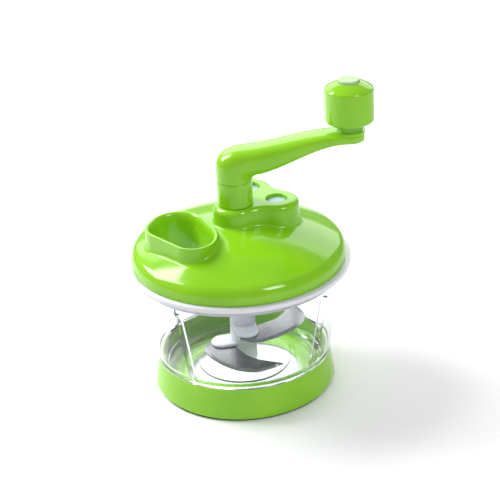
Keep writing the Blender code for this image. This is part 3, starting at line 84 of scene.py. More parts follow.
def along(bearing, distance):
    return Vector((math.cos(bearing), math.sin(bearing))) * distance


def bearingOf(vector):
    return math.atan2(vector.y, vector.x)


def arc(centre, radius, start, end, steps):
    turn = (end - start) / steps
    return [centre + along(start + turn * i, radius) for i in range(steps + 1)]


# Rounds each corner given as (x, y, radius); a corner (x, y) stays sharp.
def filleted(corners, closed=True):
    points = []
    count = len(corners)
    for i, corner in enumerate(corners):
        here = Vector(corner[:2])
        radius = corner[2] if len(corner) > 2 else 0
        if radius == 0 or (not closed and i in (0, count - 1)):
            points.append(here)
            continue
        back = (Vector(corners[i - 1][:2]) - here).normalized()
        ahead = (Vector(corners[(i + 1) % count][:2]) - here).normalized()
        half = back.angle(ahead) / 2
        centre = here + (back + ahead).normalized() * (radius / math.sin(half))
        first = here + back * (radius / math.tan(half)) - centre
        last = here + ahead * (radius / math.tan(half)) - centre
        start = bearingOf(first)
        sweep = -first.angle_signed(last)
        steps = max(3, math.ceil(abs(sweep) / settings["arcStep"]))
        points.extend(arc(centre, radius, start, start + sweep, steps))
    return points


# Moves the sides of a convex outline out by a distance, with roundings kept concentric.
def offsetCorners(corners, distance):
    moved = []
    for i, (x, y, radius) in enumerate(corners):
        here = Vector((x, y))
        back = (here - Vector(corners[i - 1][:2])).normalized()
        ahead = (Vector(corners[(i + 1) % len(corners)][:2]) - here).normalized()
        firstNormal = Vector((back.y, -back.x))
        secondNormal = Vector((ahead.y, -ahead.x))
        shift = (firstNormal + secondNormal) / (1 + firstNormal.dot(secondNormal))
        place = here + shift * distance
        moved.append((place.x, place.y, radius + distance))
    return moved


# A curve through the points, with tangents from their neighbours.
def smoothPath(points, steps):
    path = []
    padded = [points[0] * 2 - points[1]] + list(points) + [points[-1] * 2 - points[-2]]
    for before, start, end, after in zip(padded, padded[1:], padded[2:], padded[3:]):
        for i in range(steps):
            t = i / steps
            path.append(
                (
                    start * 2
                    + (end - before) * t
                    + (before * 2 - start * 5 + end * 4 - after) * t**2
                    + (start * 3 - before - end * 3 + after) * t**3
                )
                / 2
            )
    return path + [points[-1]]


def ringAt(outline, height):
    return [(point.x, point.y, height) for point in outline]


# Meshes


def meshFrom(bm):
    bmesh.ops.remove_doubles(bm, verts=bm.verts, dist=weld)
    bmesh.ops.recalc_face_normals(bm, faces=bm.faces)
    mesh = bpy.data.meshes.new("shape")
    bm.to_mesh(mesh)
    bm.free()
    return mesh


# Turns a profile of (radius, height) points about an upright axis.
def turned(profile, closed=False, steps=None, place=(0, 0)):
    steps = steps or settings["ringSteps"]
    bm = bmesh.new()
    rows = []
    for radius, height in profile:
        count = steps if radius > weld else 1
        points = [along(2 * math.pi * i / steps, radius) for i in range(count)]
        rows.append([bm.verts.new((p.x + place[0], p.y + place[1], height)) for p in points])
    following = rows[1:] + rows[:1] if closed else rows[1:]
    for row, other in zip(rows, following):
        for i in range(steps):
            j = (i + 1) % steps
            corners = [row[i % len(row)], other[i % len(other)], other[j % len(other)]]
            corners.append(row[j % len(row)])
            face = list(dict.fromkeys(corners))
            if len(face) > 2:
                bm.faces.new(face)
    return meshFrom(bm)


# Skins rings of equal counts, in order, and closes the two ends.
def lofted(rings):
    bm = bmesh.new()
    rows = [[bm.verts.new(point) for point in ring] for ring in rings]
    for row, following in zip(rows, rows[1:]):
        for i in range(len(row)):
            j = (i + 1) % len(row)
            bm.faces.new((row[i], row[j], following[j], following[i]))
    bm.faces.new(reversed(rows[0]))
    bm.faces.new(rows[-1])
    return meshFrom(bm)


def prism(outline, bottom, top):
    return lofted([ringAt(outline, bottom), ringAt(outline, top)])


def rod(radius, bottom, top, place=(0, 0), steps=None):
    profile = [(0, top), (radius, top), (radius, bottom), (0, bottom)]
    return turned(profile, steps=steps or settings["smallSteps"], place=place)


def evaluatedMesh(obj):
    graph = bpy.context.evaluated_depsgraph_get()
    return bpy.data.meshes.new_from_object(obj.evaluated_get(graph))


def temporary(mesh):
    obj = bpy.data.objects.new("temporary", mesh)
    bpy.context.scene.collection.objects.link(obj)
    return obj


def boolean(mesh, operation, tools):
    obj = temporary(mesh)
    cutters = [temporary(tool) for tool in tools]
    for cutter in cutters:
        modifier = obj.modifiers.new("boolean", "BOOLEAN")
        modifier.operation = operation
        modifier.solver = "MANIFOLD"
        modifier.object = cutter
    result = evaluatedMesh(obj)
    for used in [obj] + cutters:
        bpy.data.objects.remove(used)
    return result


def joined(mesh, *tools):
    return boolean(mesh, "UNION", tools)


def cut(mesh, *tools):
    return boolean(mesh, "DIFFERENCE", tools)


def turnedBy(mesh, bearing):
    mesh.transform(Matrix.Rotation(bearing, 4, "Z"))
    return mesh


# One finished piece of the chopper, on its body, in place of its CAD nodes.
def piece(name, mesh, material, body, nodes, sharp=settings["sharp"]):
    mesh.name = name
    mesh.transform(Matrix.Translation((bowlAxis.x, bowlAxis.y, 0)))
    mesh.materials.clear()
    mesh.materials.append(material)
    mesh.shade_smooth()
    mesh.set_sharp_from_angle(angle=math.radians(sharp))
    obj = bpy.data.objects.new(name, mesh)
    bpy.context.scene.collection.objects.link(obj)
    weighted = obj.modifiers.new("weighted", "WEIGHTED_NORMAL")
    weighted.keep_sharp = True
    obj.data = evaluatedMesh(obj)
    obj.modifiers.clear()
    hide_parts(*nodes)
    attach(obj, body)
    return obj


# Geometry Nodes: copies of one form round the upright axis


# Adds a node, sets its values, then sets or links its inputs by name or number.
def addNode(tree, kind, inputs=None, **values):
    node = tree.nodes.new(kind)
    for name, value in values.items():
        setattr(node, name, value)
    for key, value in (inputs or {}).items():
        if isinstance(value, bpy.types.NodeSocket):
            tree.links.new(value, node.inputs[key])
        else:
            node.inputs[key].default_value = value
    return node


def makeRoundTheAxis():
    tree = bpy.data.node_groups.new("roundTheAxis", "GeometryNodeTree")
    for name, kind in (
        ("Form", "NodeSocketGeometry"),
        ("Count", "NodeSocketInt"),
        ("First Bearing", "NodeSocketFloat"),
        ("Merge Distance", "NodeSocketFloat"),
        ("Material", "NodeSocketMaterial"),
    ):
        tree.interface.new_socket(name=name, in_out="INPUT", socket_type=kind)
    tree.interface.new_socket(name="Form", in_out="OUTPUT", socket_type="NodeSocketGeometry")
    given = addNode(tree, "NodeGroupInput").outputs
    points = addNode(tree, "GeometryNodePoints", {"Count": given["Count"]})
    index = addNode(tree, "GeometryNodeInputIndex")
    share = addNode(
        tree, "ShaderNodeMath", {0: index.outputs[0], 1: given["Count"]}, operation="DIVIDE"
    )
    turn = addNode(
        tree,
        "ShaderNodeMath",
        {0: share.outputs[0], 1: 2 * math.pi, 2: given["First Bearing"]},
        operation="MULTIPLY_ADD",
    )
    rotation = addNode(tree, "ShaderNodeCombineXYZ", {"Z": turn.outputs[0]})
    copies = addNode(
        tree,
        "GeometryNodeInstanceOnPoints",
        {"Points": points.outputs[0], "Instance": given["Form"], "Rotation": rotation.outputs[0]},
    )
    plain = addNode(tree, "GeometryNodeRealizeInstances", {0: copies.outputs[0]})
    merged = addNode(
        tree,
        "GeometryNodeMergeByDistance",
        {"Geometry": plain.outputs[0], "Distance": given["Merge Distance"]},
    )
    painted = addNode(
        tree, "GeometryNodeSetMaterial", {0: merged.outputs[0], "Material": given["Material"]}
    )
    addNode(tree, "NodeGroupOutput", {0: painted.outputs[0]})
    return tree


roundTheAxis = makeRoundTheAxis()


# Count copies of a mesh, evenly round the axis, as one plain mesh.
def repeated(mesh, count, firstBearing, material):
    obj = temporary(mesh)
    modifier = obj.modifiers.new("repeat", "NODES")
    modifier.node_group = roundTheAxis
    values = {
        "Count": count,
        "First Bearing": firstBearing,
        "Merge Distance": settings["copyWeld"],
        "Material": material,
    }
    for item in roundTheAxis.interface.items_tree:
        if item.in_out == "INPUT" and item.name in values:
            modifier[item.identifier] = values[item.name]
    result = evaluatedMesh(obj)
    bpy.data.objects.remove(obj)
    return result


# Materials
millimetres = 1000  # in a metre
noiseSpan = {"From Min": 0.3, "From Max": 0.7}  # where most of a noise's values lie


# A linear colour from an sRGB hex code.
def colour(code):
    parts = [int(code[i : i + 2], 16) / 255 for i in (0, 2, 4)]
    linear = [p / 12.92 if p <= 0.04045 else ((p + 0.055) / 1.055) ** 2.4 for p in parts]
    return (*linear, 1.0)


def newMaterial(name):
    material = bpy.data.materials.new(name)
    material.use_nodes = True
    tree = material.node_tree
    tree.nodes.clear()
    shader = addNode(tree, "ShaderNodeBsdfPrincipled")
    addNode(tree, "ShaderNodeOutputMaterial", {"Surface": shader.outputs[0]})
    return material, tree, shader


# Noise on object coordinates, with cells of a size in millimetres.
def pattern(tree, size, detail=2.0, stretch=(1, 1, 1)):
    coordinates = addNode(tree, "ShaderNodeTexCoord")
    mapping = addNode(
        tree, "ShaderNodeMapping", {"Vector": coordinates.outputs["Object"], "Scale": stretch}
    )
    noise = addNode(
        tree,
        "ShaderNodeTexNoise",
        {"Vector": mapping.outputs[0], "Scale": millimetres / size, "Detail": detail},
    )
    return noise.outputs["Fac"]


# Two close shades that follow a pattern.
def twoShades(tree, shader, soft, dark, light):
    spread = addNode(tree, "ShaderNodeMapRange", {"Value": soft, **noiseSpan})
    shade = addNode(
        tree,
        "ShaderNodeMix",
        {"Factor": spread.outputs[0], 6: colour(dark), 7: colour(light)},
        data_type="RGBA",
    )
    tree.links.new(shade.outputs[2], shader.inputs["Base Color"])


# Roughness that follows a pattern, between its least and its most.
def unevenGloss(tree, shader, soft, roughness):
    least, most = roughness
    spread = addNode(
        tree, "ShaderNodeMapRange", {"Value": soft, "To Min": least, "To Max": most, **noiseSpan}
    )
    tree.links.new(spread.outputs[0], shader.inputs["Roughness"])


# Moulded plastic: two close shades in soft mottles, uneven gloss and a faint grain.
# Mottle and grain are the sizes of the pattern in millimetres, depth the grain's in metres.
def plastic(name, dark, light, roughness, mottle, grain, depth):
    material, tree, shader = newMaterial(name)
    twoShades(tree, shader, pattern(tree, mottle), dark, light)
    unevenGloss(tree, shader, pattern(tree, mottle / 3), roughness)
    bump = addNode(
        tree,
        "ShaderNodeBump",
        {"Height": pattern(tree, grain), "Distance": depth, "Strength": 0.5},
    )
    tree.links.new(bump.outputs[0], shader.inputs["Normal"])
    return material


# Lime ABS, injection moulded and polished: a faint flow mottle and a slight waviness of the skin
limeAbs = plastic("limeAbs", "82C516", "8ECD20", (0.09, 0.15), 38, 9, 0.00001)
# The cap in the knob: the same ABS with a satin spark-eroded skin
satinGreenAbs = plastic("satinGreenAbs", "A6CC8C", "B2D699", (0.34, 0.42), 14, 0.6, 0.00003)
# Pale grey ABS, injection moulded, glossy, with a slight lavender cast
paleGreyAbs = plastic("paleGreyAbs", "DFDEE9", "E7E6F0", (0.16, 0.24), 30, 8, 0.00001)
# White nylon, machined or moulded, satin
whiteNylon = plastic("whiteNylon", "E2E2DC", "ECECE6", (0.38, 0.5), 12, 0.8, 0.00002)
# Blue-grey nylon of the cluster gears, moulded, satin
blueGreyNylon = plastic("blueGreyNylon", "A9C0CA", "B5CBD4", (0.34, 0.46), 10, 0.8, 0.00002)
# Non-slip rubber, compression moulded, matt with a dusty grain. Its dark colour is partly painted
# shadow: set near the base's outer edge, it draws the dark contact-shadow line under the base.
darkRubberAsShadow = plastic("darkRubberAsShadow", "2A2E2A", "363A35", (0.6, 0.78), 6, 0.5, 0.00004)
# Lid seal: silicone, moulded, dull and slightly milky
clearSilicone = plastic("clearSilicone", "D2D8D4", "DDE2DE", (0.42, 0.55), 9, 0.7, 0.00002)


# Stainless steel, ground lengthways: fine streaks in gloss and in height
steel = {
    "dark": "7C7E80",
    "light": "98999B",
    "streak": 0.9,
    "detail": 4.0,
    "stretch": (1, 1, 14),
    "roughness": (0.16, 0.3),
    "depth": 0.00001,
    "strength": 0.3,
}
# Clear polystyrene, polished: glass to the eye, open to the lamps' own rays
clear = {
    "tint": "FBFDFD",
    "shadowTint": "FCFDFD",
    "ior": 1.27,
    "wave": 22,
    "roughness": (0.0, 0.03),
    "depth": 0.00002,
    "strength": 0.3,
}


def makeSteel():
    material, tree, shader = newMaterial("groundSteel")
    streaks = pattern(tree, steel["streak"], steel["detail"], steel["stretch"])
    twoShades(tree, shader, streaks, steel["dark"], steel["light"])
    unevenGloss(tree, shader, streaks, steel["roughness"])
    shader.inputs["Metallic"].default_value = 1.0
    bump = addNode(
        tree,
        "ShaderNodeBump",
        {"Height": streaks, "Distance": steel["depth"], "Strength": steel["strength"]},
    )
    tree.links.new(bump.outputs[0], shader.inputs["Normal"])
    return material


def makeClear():
    material, tree, shader = newMaterial("clearPolystyrene")
    wavy = pattern(tree, clear["wave"])
    shader.inputs["Base Color"].default_value = colour(clear["tint"])
    shader.inputs["Transmission Weight"].default_value = 1.0
    shader.inputs["IOR"].default_value = clear["ior"]
    unevenGloss(tree, shader, wavy, clear["roughness"])
    bump = addNode(
        tree,
        "ShaderNodeBump",
        {"Height": wavy, "Distance": clear["depth"], "Strength": clear["strength"]},
    )
    tree.links.new(bump.outputs[0], shader.inputs["Normal"])
    tint = colour(clear["shadowTint"])
    straight = addNode(tree, "ShaderNodeBsdfTransparent", {"Color": tint})
    path = addNode(tree, "ShaderNodeLightPath")
    mix = addNode(
        tree,
        "ShaderNodeMixShader",
        {0: path.outputs["Is Shadow Ray"], 1: shader.outputs[0], 2: straight.outputs[0]},
    )
    tree.links.new(mix.outputs[0], tree.get_output_node("ALL").inputs["Surface"])
    return material


groundSteel = makeSteel()
clearPolystyrene = makeClear()
print("materials made")

# Base ring: a flared wall, an inner ledge that carries the bowl, a groove for the non-slip ring
base = {
    "footRadius": 0.0746,
    "topRadius": 0.0706,
    "wall": 0.0024,
    "footRound": 0.0028,
    "topRound": 0.0011,
    "topInnerRound": 0.00099,
    "ledge": 0.0038,
    "ledgeInner": 0.047,
    "ledgeCorner": 0.0012,
    "ledgeRound": 0.0016,
    "groove": 0.0018,
    "grip": 0.0722,
    "gripWidth": 0.0062,
    "gripRound": 0.0006,
}
baseBottom = bottomOf("base_ring")
baseTop = topOf("base_ring")


def baseOuter(height):
    share = (height - baseBottom) / (baseTop - baseBottom)
    return base["footRadius"] + (base["topRadius"] - base["footRadius"]) * share


def makeBaseRing():
    low, top = baseBottom, baseTop
    ledgeTop = low + base["ledge"]
    gripInner = base["grip"] - base["gripWidth"]
    corners = [
        (baseOuter(top), top, base["topRound"]),
        (baseOuter(low), low, base["footRound"]),
        (base["grip"] + gap, low),
        (base["grip"] + gap, low + base["groove"]),
        (gripInner - gap, low + base["groove"]),
        (gripInner - gap, low),
        (base["ledgeInner"], low, base["ledgeCorner"]),
        (base["ledgeInner"], ledgeTop, base["ledgeCorner"]),
        (baseOuter(ledgeTop) - base["wall"], ledgeTop, base["ledgeRound"]),
        (baseOuter(top) - base["wall"], top, base["topInnerRound"]),
    ]
    return turned(filleted(corners), closed=True)


def makeNonSlipRing():
    top = topOf("non_slip_ring")
    inner = base["grip"] - base["gripWidth"]
    corners = [
        (base["grip"], top),
        (base["grip"], 0, base["gripRound"]),
        (inner, 0, base["gripRound"]),
        (inner, top),
    ]
    return turned(filleted(corners), closed=True)


piece("baseRing", makeBaseRing(), limeAbs, "bowl", ["base_ring"])
# The dark ring sits close to the base's edge so that it shows as the contact shadow's dark line
# there: painted shadow on a real non-slip ring.
piece("nonSlipRing", makeNonSlipRing(), darkRubberAsShadow, "bowl", ["non_slip_ring"])
print("base made")

# Bowl: a tapered wall over a stepped foot, a stepped floor with the pin's socket, upright ribs
bowl = {
    "wall": 0.0024,
    "stepRadius": 0.0713,
    "rimRadius": 0.0873,
    "lipProud": 0.0007,
    "lipHeight": 0.0022,
    "lipRound": 0.0006,
    "footRadius": 0.0668,
    "footInset": 0.0011,
    "footDepth": 0.0065,
    "floor": 0.0028,
    "stepRise": 0.0055,
    "stepSlope": 0.0045,
    "stepRound": 0.005,
    "cornerRound": 0.011,
    "plateauRadius": 0.0375,
    "plateauRise": 0.0012,
    "bossRadius": 0.0085,
    "bossRise": 0.0012,
    "edgeRound": 0.0005,
    "pinRadius": 0.003,
    "pinFloor": 0.0016,
    "ribCount": 4,
    "ribBearing": math.radians(232.5),
    "ribThickness": 0.003,
    "ribProud": 0.0043,
    "ribTop": 0.096,
    "ribTopRound": 0.0034,
}
bowlBottom = bottomOf("bowl")
rimHeight = topOf("bowl")
stepBottom = baseTop + gap
floorUnder = bowlBottom + bowl["footDepth"]
floorTop = floorUnder + bowl["floor"]
plateauTop = floorTop + bowl["plateauRise"]
bossTop = plateauTop + bowl["bossRise"]


def bowlOuter(height):
    share = (height - stepBottom) / (rimHeight - stepBottom)
    return bowl["stepRadius"] + (bowl["rimRadius"] - bowl["stepRadius"]) * share


def bowlInner(height):
    return bowlOuter(height) - bowl["wall"]


def makeBowl():
    lipBottom = rimHeight - bowl["lipHeight"]
    footInner = bowl["footRadius"] - bowl["wall"]
    footBottom = bowl["footRadius"] - bowl["footInset"]
    shelf = stepBottom + bowl["stepRise"]
    proud = bowl["lipProud"]
    edge = bowl["edgeRound"]
    seat = floorUnder + bowl["pinFloor"]
    corners = [
        (bowl["pinRadius"] + gap, seat),
        (bowl["pinRadius"] + gap, bossTop, edge / 2),
        (bowl["bossRadius"], bossTop, edge),
        (bowl["bossRadius"], plateauTop, edge),
        (bowl["plateauRadius"], plateauTop, edge),
        (bowl["plateauRadius"], floorTop, edge),
        (footInner, floorTop, bowl["cornerRound"]),
        (footInner, shelf - bowl["stepSlope"], bowl["stepRound"] / 2),
        (bowlInner(shelf), shelf, bowl["stepRound"]),
        (bowlInner(rimHeight), rimHeight, bowl["lipRound"]),
        (bowlOuter(rimHeight) + proud, rimHeight, bowl["lipRound"]),
        (bowlOuter(lipBottom) + proud, lipBottom, edge / 2),
        (bowlOuter(lipBottom), lipBottom - proud, edge / 2),
        (bowlOuter(stepBottom), stepBottom, bowl["lipRound"]),
        (bowl["footRadius"], stepBottom, edge),
        (footBottom, bowlBottom, bowl["lipRound"]),
        (footBottom - bowl["wall"], bowlBottom, edge),
        (footBottom - bowl["wall"], floorUnder, edge * 2),
    ]
    profile = [Vector((0, seat))] + filleted(corners, closed=False) + [Vector((0, floorUnder))]
    low = floorTop - sink
    inside = footBottom - sink
    high = bowl["ribTop"]
    outline = filleted(
        [
            (bowlInner(low) - bowl["ribProud"], low),
            (inside, low),
            (inside, stepBottom),
            (bowlInner(shelf) + sink, shelf),
            (bowlInner(high) + sink, high),
            (bowlInner(high) - bowl["ribProud"], high, bowl["ribTopRound"]),
        ]
    )
    half = bowl["ribThickness"] / 2
    rib = prism(outline, -half, half)
    rib.transform(Matrix.Rotation(math.pi / 2, 4, "X"))
    ribs = repeated(rib, bowl["ribCount"], bowl["ribBearing"], clearPolystyrene)
    return joined(turned(profile), ribs)


piece("bowl", makeBowl(), clearPolystyrene, "bowl", ["bowl"])
print("bowl made")

# Blade column: a tube with two root arms, each slit for a blade, and a socket for the driver
column = {
    "radius": 0.0105,
    "footRadius": 0.0112,
    "round": 0.0012,
    "armReach": 0.027,
    "armWidth": 0.019,
    "armThickness": 0.0058,
    "armRound": 0.0014,
    "slotStart": 0.0112,
    "socketRadius": 0.0058,
    "socketBottom": 0.085,
    "hexSides": 6,
    "arcSteps": 24,
}
columnBottom = bottomOf("blade_column")
columnTop = topOf("blade_column")
lowerBladeHeight = centreOf("lower_blade").z
upperBladeHeight = centreOf("upper_blade").z
blade = {
    "bearings": (math.radians(190), math.radians(280)),
    "thickness": 0.0012,
    "edge": 0.0003,
    "grind": 0.003,
    "reach": 0.0525,
    "pathSteps": 16,
    "grindShares": (0.5, 0.85, 1.0),
    "grindCurve": 1.4,
    "runOutSteps": 22,
    "sharp": 12,
    "outer": (
        (0.50, -0.14),
        (0.65, 0.12),
        (0.545, 0.505),
        (0.31, 0.845),
        (0.03, 1.0),
        (-0.22, 0.965),
        (-0.43, 0.885),
    ),
    "inner": (
        (0.215, -0.11),
        (0.233, 0.03),
        (0.178, 0.158),
        (0.118, 0.322),
        (0.04, 0.512),
        (-0.125, 0.69),
        (-0.43, 0.885),
    ),
}


def stadium(inset):
    side = column["armWidth"] / 2 - inset
    end = Vector((column["armReach"] - column["armWidth"] / 2, 0))
    tip = arc(end, side, -math.pi / 2, math.pi / 2, column["arcSteps"])
    return [Vector((0, -side))] + tip + [Vector((0, side))]


# A slab whose upper and lower edges are rounded; outline gives the shape at an inset.
def roundedSlab(outline, low, high, rounding, steps=6):
    rings = []
    for i in range(steps + 1):
        angle = i / steps * math.pi / 2
        inset = rounding * (1 - math.sin(angle))
        rings.append(ringAt(outline(inset), low + rounding * (1 - math.cos(angle))))
    for i in range(steps + 1):
        angle = i / steps * math.pi / 2
        inset = rounding * (1 - math.cos(angle))
        rings.append(ringAt(outline(inset), high - rounding * (1 - math.sin(angle))))
    return lofted(rings)


def makeBladeColumn():
    corners = [
        (0, columnTop),
        (column["radius"], columnTop, column["round"]),
        (column["radius"], upperBladeHeight),
        (column["footRadius"], columnBottom, column["round"]),
        (0, columnBottom),
    ]
    tube = turned(filleted(corners, closed=False), steps=settings["smallSteps"] * 2)
    half = column["armThickness"] / 2
    slit = blade["thickness"] / 2 + gap
    wide = column["armWidth"] / 2 + overrun
    far = column["armReach"] + overrun
    start, steps = column["slotStart"], column["arcSteps"]
    around = arc(Vector((0, 0)), start, math.pi / 2, -math.pi / 2, steps)
    mouth = [Vector((0, -wide)), Vector((far, -wide)), Vector((far, wide)), Vector((0, wide))]
    arms = []
    slots = []
    for bearing, height in zip(blade["bearings"], (lowerBladeHeight, upperBladeHeight)):
        arm = roundedSlab(stadium, height - half, height + half, column["armRound"])
        arms.append(turnedBy(arm, bearing))
        slot = prism(mouth + around, height - slit, height + slit)
        slots.append(turnedBy(slot, bearing))
    bore = rod(bowl["pinRadius"] + gap, columnBottom - overrun, topOf("pivot_pin") + sink)
    socket = rod(
        column["socketRadius"],
        column["socketBottom"],
        columnTop + overrun,
        steps=column["hexSides"],
    )
    return cut(joined(tube, *arms), bore, socket, *slots)


# A sickle blade, flat below, hollow ground from above along its outer edge.
def makeBlade(bearing, height):
    outer, inner = (
        smoothPath([Vector(share) * blade["reach"] for share in blade[side]], blade["pathSteps"])
        for side in ("outer", "inner")
    )
    count = len(outer)
    rings = []
    back = list(reversed(inner[:-1]))
    half = blade["thickness"] / 2
    rise = blade["thickness"] - blade["edge"]
    rings.append(ringAt(outer + back, height - half))
    rings.append(ringAt(outer + back, height - half + blade["edge"]))
    for share in blade["grindShares"]:
        ground = []
        for i, point in enumerate(outer):
            step = (outer[min(count - 1, i + 1)] - outer[max(0, i - 1)]).normalized()
            runOut = min(1, (count - 1 - i) / blade["runOutSteps"])
            width = blade["grind"] * share * runOut
            ground.append(point + Vector((-step.y, step.x)) * width)
        level = height - half + blade["edge"] + rise * share ** blade["grindCurve"]
        rings.append(ringAt(ground + back, level))
    return turnedBy(lofted(rings), bearing)


piece(
    "bladeColumn", makeBladeColumn(), paleGreyAbs, "blade_unit", ["blade_column"]
)
bladePlaces = (
    ("lowerBlade", "lower_blade", lowerBladeHeight),
    ("upperBlade", "upper_blade", upperBladeHeight),
)
for (name, node, height), bearing in zip(bladePlaces, blade["bearings"]):
    mesh = makeBlade(bearing, height)
    piece(name, mesh, groundSteel, "blade_unit", [node], blade["sharp"])
print("blade unit made")

# Lid plate: flange with a small skirt, a plug with the seal's groove, a rim that centres the cover
plate = {
    "flangeRadius": 0.090,
    "flangeRound": 0.0009,
    "skirtDepth": 0.0016,
    "skirtWall": 0.0014,
    "thickness": 0.002,
    "plugRadius": 0.0822,
    "plugDepth": 0.008,
    "plugWall": 0.0028,
    "sealDrop": 0.003,
    "sealHeight": 0.0025,
    "grooveRadius": 0.0812,
    "rimWall": 0.0015,
    "rimHeight": 0.003,
    "driveHole": 0.009,
    "screwCircle": 0.0748,
    "screwHole": 0.0019,
    "screwBearing": math.radians(45),
    "screwCount": 4,
}
cover = {
    "radius": 0.086,
    "height": 0.0327,
    "wall": 0.0025,
    "shoulder": 0.010,
    "sphere": 0.185,
    "domeSteps": 28,
    "shoulderSteps": 16,
}
chute = {
    "bearing": math.radians(220),
    "rise": 0.0012,
    "corners": (
        (0.0665, -0.0392, 0.0192),
        (0.065, 0.0317, 0.017),
        (0.0287, 0.0147, 0.0295),
        (0.0022, -0.0692, 0.022),
    ),
    "lip": 0.0012,
    "lipRound": 0.0005,
    "funnelDepth": 0.0075,
    "funnelWidth": 0.0033,
    "wall": 0.0022,
    "footRound": 0.0018,
    "clearance": 0.0004,
    "tail": 0.001,
    "funnelSteps": 10,
}
hump = {
    "rise": 0.014,
    "lobe": 0.0184,
    "waist": 0.015,
    "topRound": 0.0045,
    "footRound": 0.002,
    "draft": math.radians(2),
    "hole": 0.0085,
    "holeRound": 0.0007,
    "collarWall": 0.0022,
    "collarLength": 0.011,
    "crankHole": 0.008,
    "crankCollarLength": 0.013,
    "lobeSteps": 44,
    "waistSteps": 16,
    "footSteps": 8,
    "topSteps": 10,
    "coreSteps": 6,
    "holeSteps": 6,
}
plateLow = rimHeight + gap
plateTop = plateLow + plate["thickness"]
coverBottom = plateTop + gap
apex = coverBottom + cover["height"]
chuteTop = apex + chute["rise"]
humpTop = apex + hump["rise"]
firstAxis = (centreOf("axle_pin_1").xy) - bowlAxis
secondAxis = (centreOf("axle_pin_2").xy) - bowlAxis
gearAxes = (secondAxis, Vector((0, 0)), firstAxis)


# The chute's outline at its rim, moved out by a distance.
def chuteOutline(distance):
    spin = Matrix.Rotation(chute["bearing"], 2)
    return [spin @ point for point in filleted(offsetCorners(chute["corners"], distance))]


def makeLidPlate():
    top, low = plateTop, plateLow
    skirt = plate["flangeRadius"] - plate["skirtWall"]
    rim = cover["radius"] - cover["wall"] - gap
    sealTop = low - plate["sealDrop"] + gap
    sealLow = sealTop - plate["sealHeight"] - 2 * gap
    inner = plate["plugRadius"] - plate["plugWall"]
    corners = [
        (0, top),
        (rim - plate["rimWall"], top),
        (rim - plate["rimWall"], top + plate["rimHeight"], gap),
        (rim, top + plate["rimHeight"], gap),
        (rim, top),
        (plate["flangeRadius"], top, plate["flangeRound"]),
        (plate["flangeRadius"], low - plate["skirtDepth"], plate["flangeRound"] / 2),
        (skirt, low - plate["skirtDepth"], gap),
        (skirt, low),
        (plate["plugRadius"], low),
        (plate["plugRadius"], sealTop),
        (plate["grooveRadius"], sealTop),
        (plate["grooveRadius"], sealLow),
        (plate["plugRadius"], sealLow),
        (plate["plugRadius"], low - plate["plugDepth"], plate["flangeRound"]),
        (inner, low - plate["plugDepth"], gap),
        (inner, low, plate["flangeRound"]),
        (0, low),
    ]
    shaftInset = chute["lip"] + chute["funnelWidth"] - chute["wall"]
    under, over = low - overrun, top + overrun
    opening = prism(chuteOutline(chute["clearance"] - shaftInset), under, over)
    drive = rod(plate["driveHole"], under, over)
    hole = rod(plate["screwHole"], under, over, along(0, plate["screwCircle"]))
    holes = repeated(hole, plate["screwCount"], plate["screwBearing"], paleGreyAbs)
    return cut(turned(filleted(corners, closed=False)), opening, drive, holes)


piece("lidPlate", makeLidPlate(), paleGreyAbs, "lid", ["lid_plate"])

# Lid screws: pan heads with a cross recess, shown from below through the bowl
screw = {
    "radius": 0.0016,
    "headRadius": 0.0032,
    "headHeight": 0.002,
    "headRound": 0.0009,
    "tip": 0.0008,
    "reach": 0.009,
    "recessWidth": 0.0007,
    "recessLength": 0.0034,
    "recessDepth": 0.0011,
    "steps": 32,
}


def makeScrew(seat):
    top = seat - gap
    tip = seat + screw["reach"] - screw["tip"]
    low = top - screw["headHeight"]
    corners = [
        (0, tip),
        (screw["radius"] - screw["tip"], tip),
        (screw["radius"], tip - screw["tip"]),
        (screw["radius"], top),
        (screw["headRadius"], top, gap / 2),
        (screw["headRadius"], low, screw["headRound"]),
        (0, low),
    ]
    body = turned(filleted(corners, closed=False), steps=screw["steps"])
    wide, longer = screw["recessWidth"] / 2, screw["recessLength"] / 2
    corners = ((-longer, -wide), (longer, -wide), (longer, wide), (-longer, wide))
    bar = [Vector(corner) for corner in corners]
    slots = [prism(bar, low - sink, low + screw["recessDepth"]) for _ in range(2)]
    turnedBy(slots[1], math.pi / 2)
    return cut(body, *slots)


lidScrew = makeScrew(plateLow)
lidScrew.transform(Matrix.Translation((plate["screwCircle"], 0, 0)))
lidScrews = repeated(lidScrew, plate["screwCount"], plate["screwBearing"], groundSteel)
screwNodes = [f"lid_screw_{i + 1}" for i in range(plate["screwCount"])]
piece("lidScrews", lidScrews, groundSteel, "lid", screwNodes)
print("lid plate made")


# Lid cover: dome with rounded shoulder, three-lobed hump over the gears, feed chute


def domeSizes(inset):
    sphere = cover["sphere"] - inset
    shoulder = cover["shoulder"] - inset
    centre = apex - cover["sphere"]
    shoulderRadius = cover["radius"] - cover["shoulder"]
    reach = cover["sphere"] - cover["shoulder"]
    shoulderHeight = centre + math.sqrt(reach**2 - shoulderRadius**2)
    return sphere, shoulder, centre, shoulderRadius, shoulderHeight


def domeHeight(radius, inset=0.0):
    sphere, shoulder, centre, shoulderRadius, shoulderHeight = domeSizes(inset)
    if radius < sphere * shoulderRadius / (cover["sphere"] - cover["shoulder"]):
        return centre + math.sqrt(sphere**2 - radius**2)
    side = min(shoulder, radius - shoulderRadius)
    return shoulderHeight + math.sqrt(shoulder**2 - side**2)


def domeProfile(inset, bottom):
    sphere, shoulder, centre, shoulderRadius, shoulderHeight = domeSizes(inset)
    lean = math.atan2(shoulderHeight - centre, shoulderRadius)
    points = arc(Vector((0, centre)), sphere, math.pi / 2, lean, cover["domeSteps"])
    corner = Vector((shoulderRadius, shoulderHeight))
    points += arc(corner, shoulder, lean, 0, cover["shoulderSteps"])[1:]
    points += [Vector((cover["radius"] - inset, bottom)), Vector((0, bottom))]
    return [(max(0.0, point.x), point.y) for point in points]


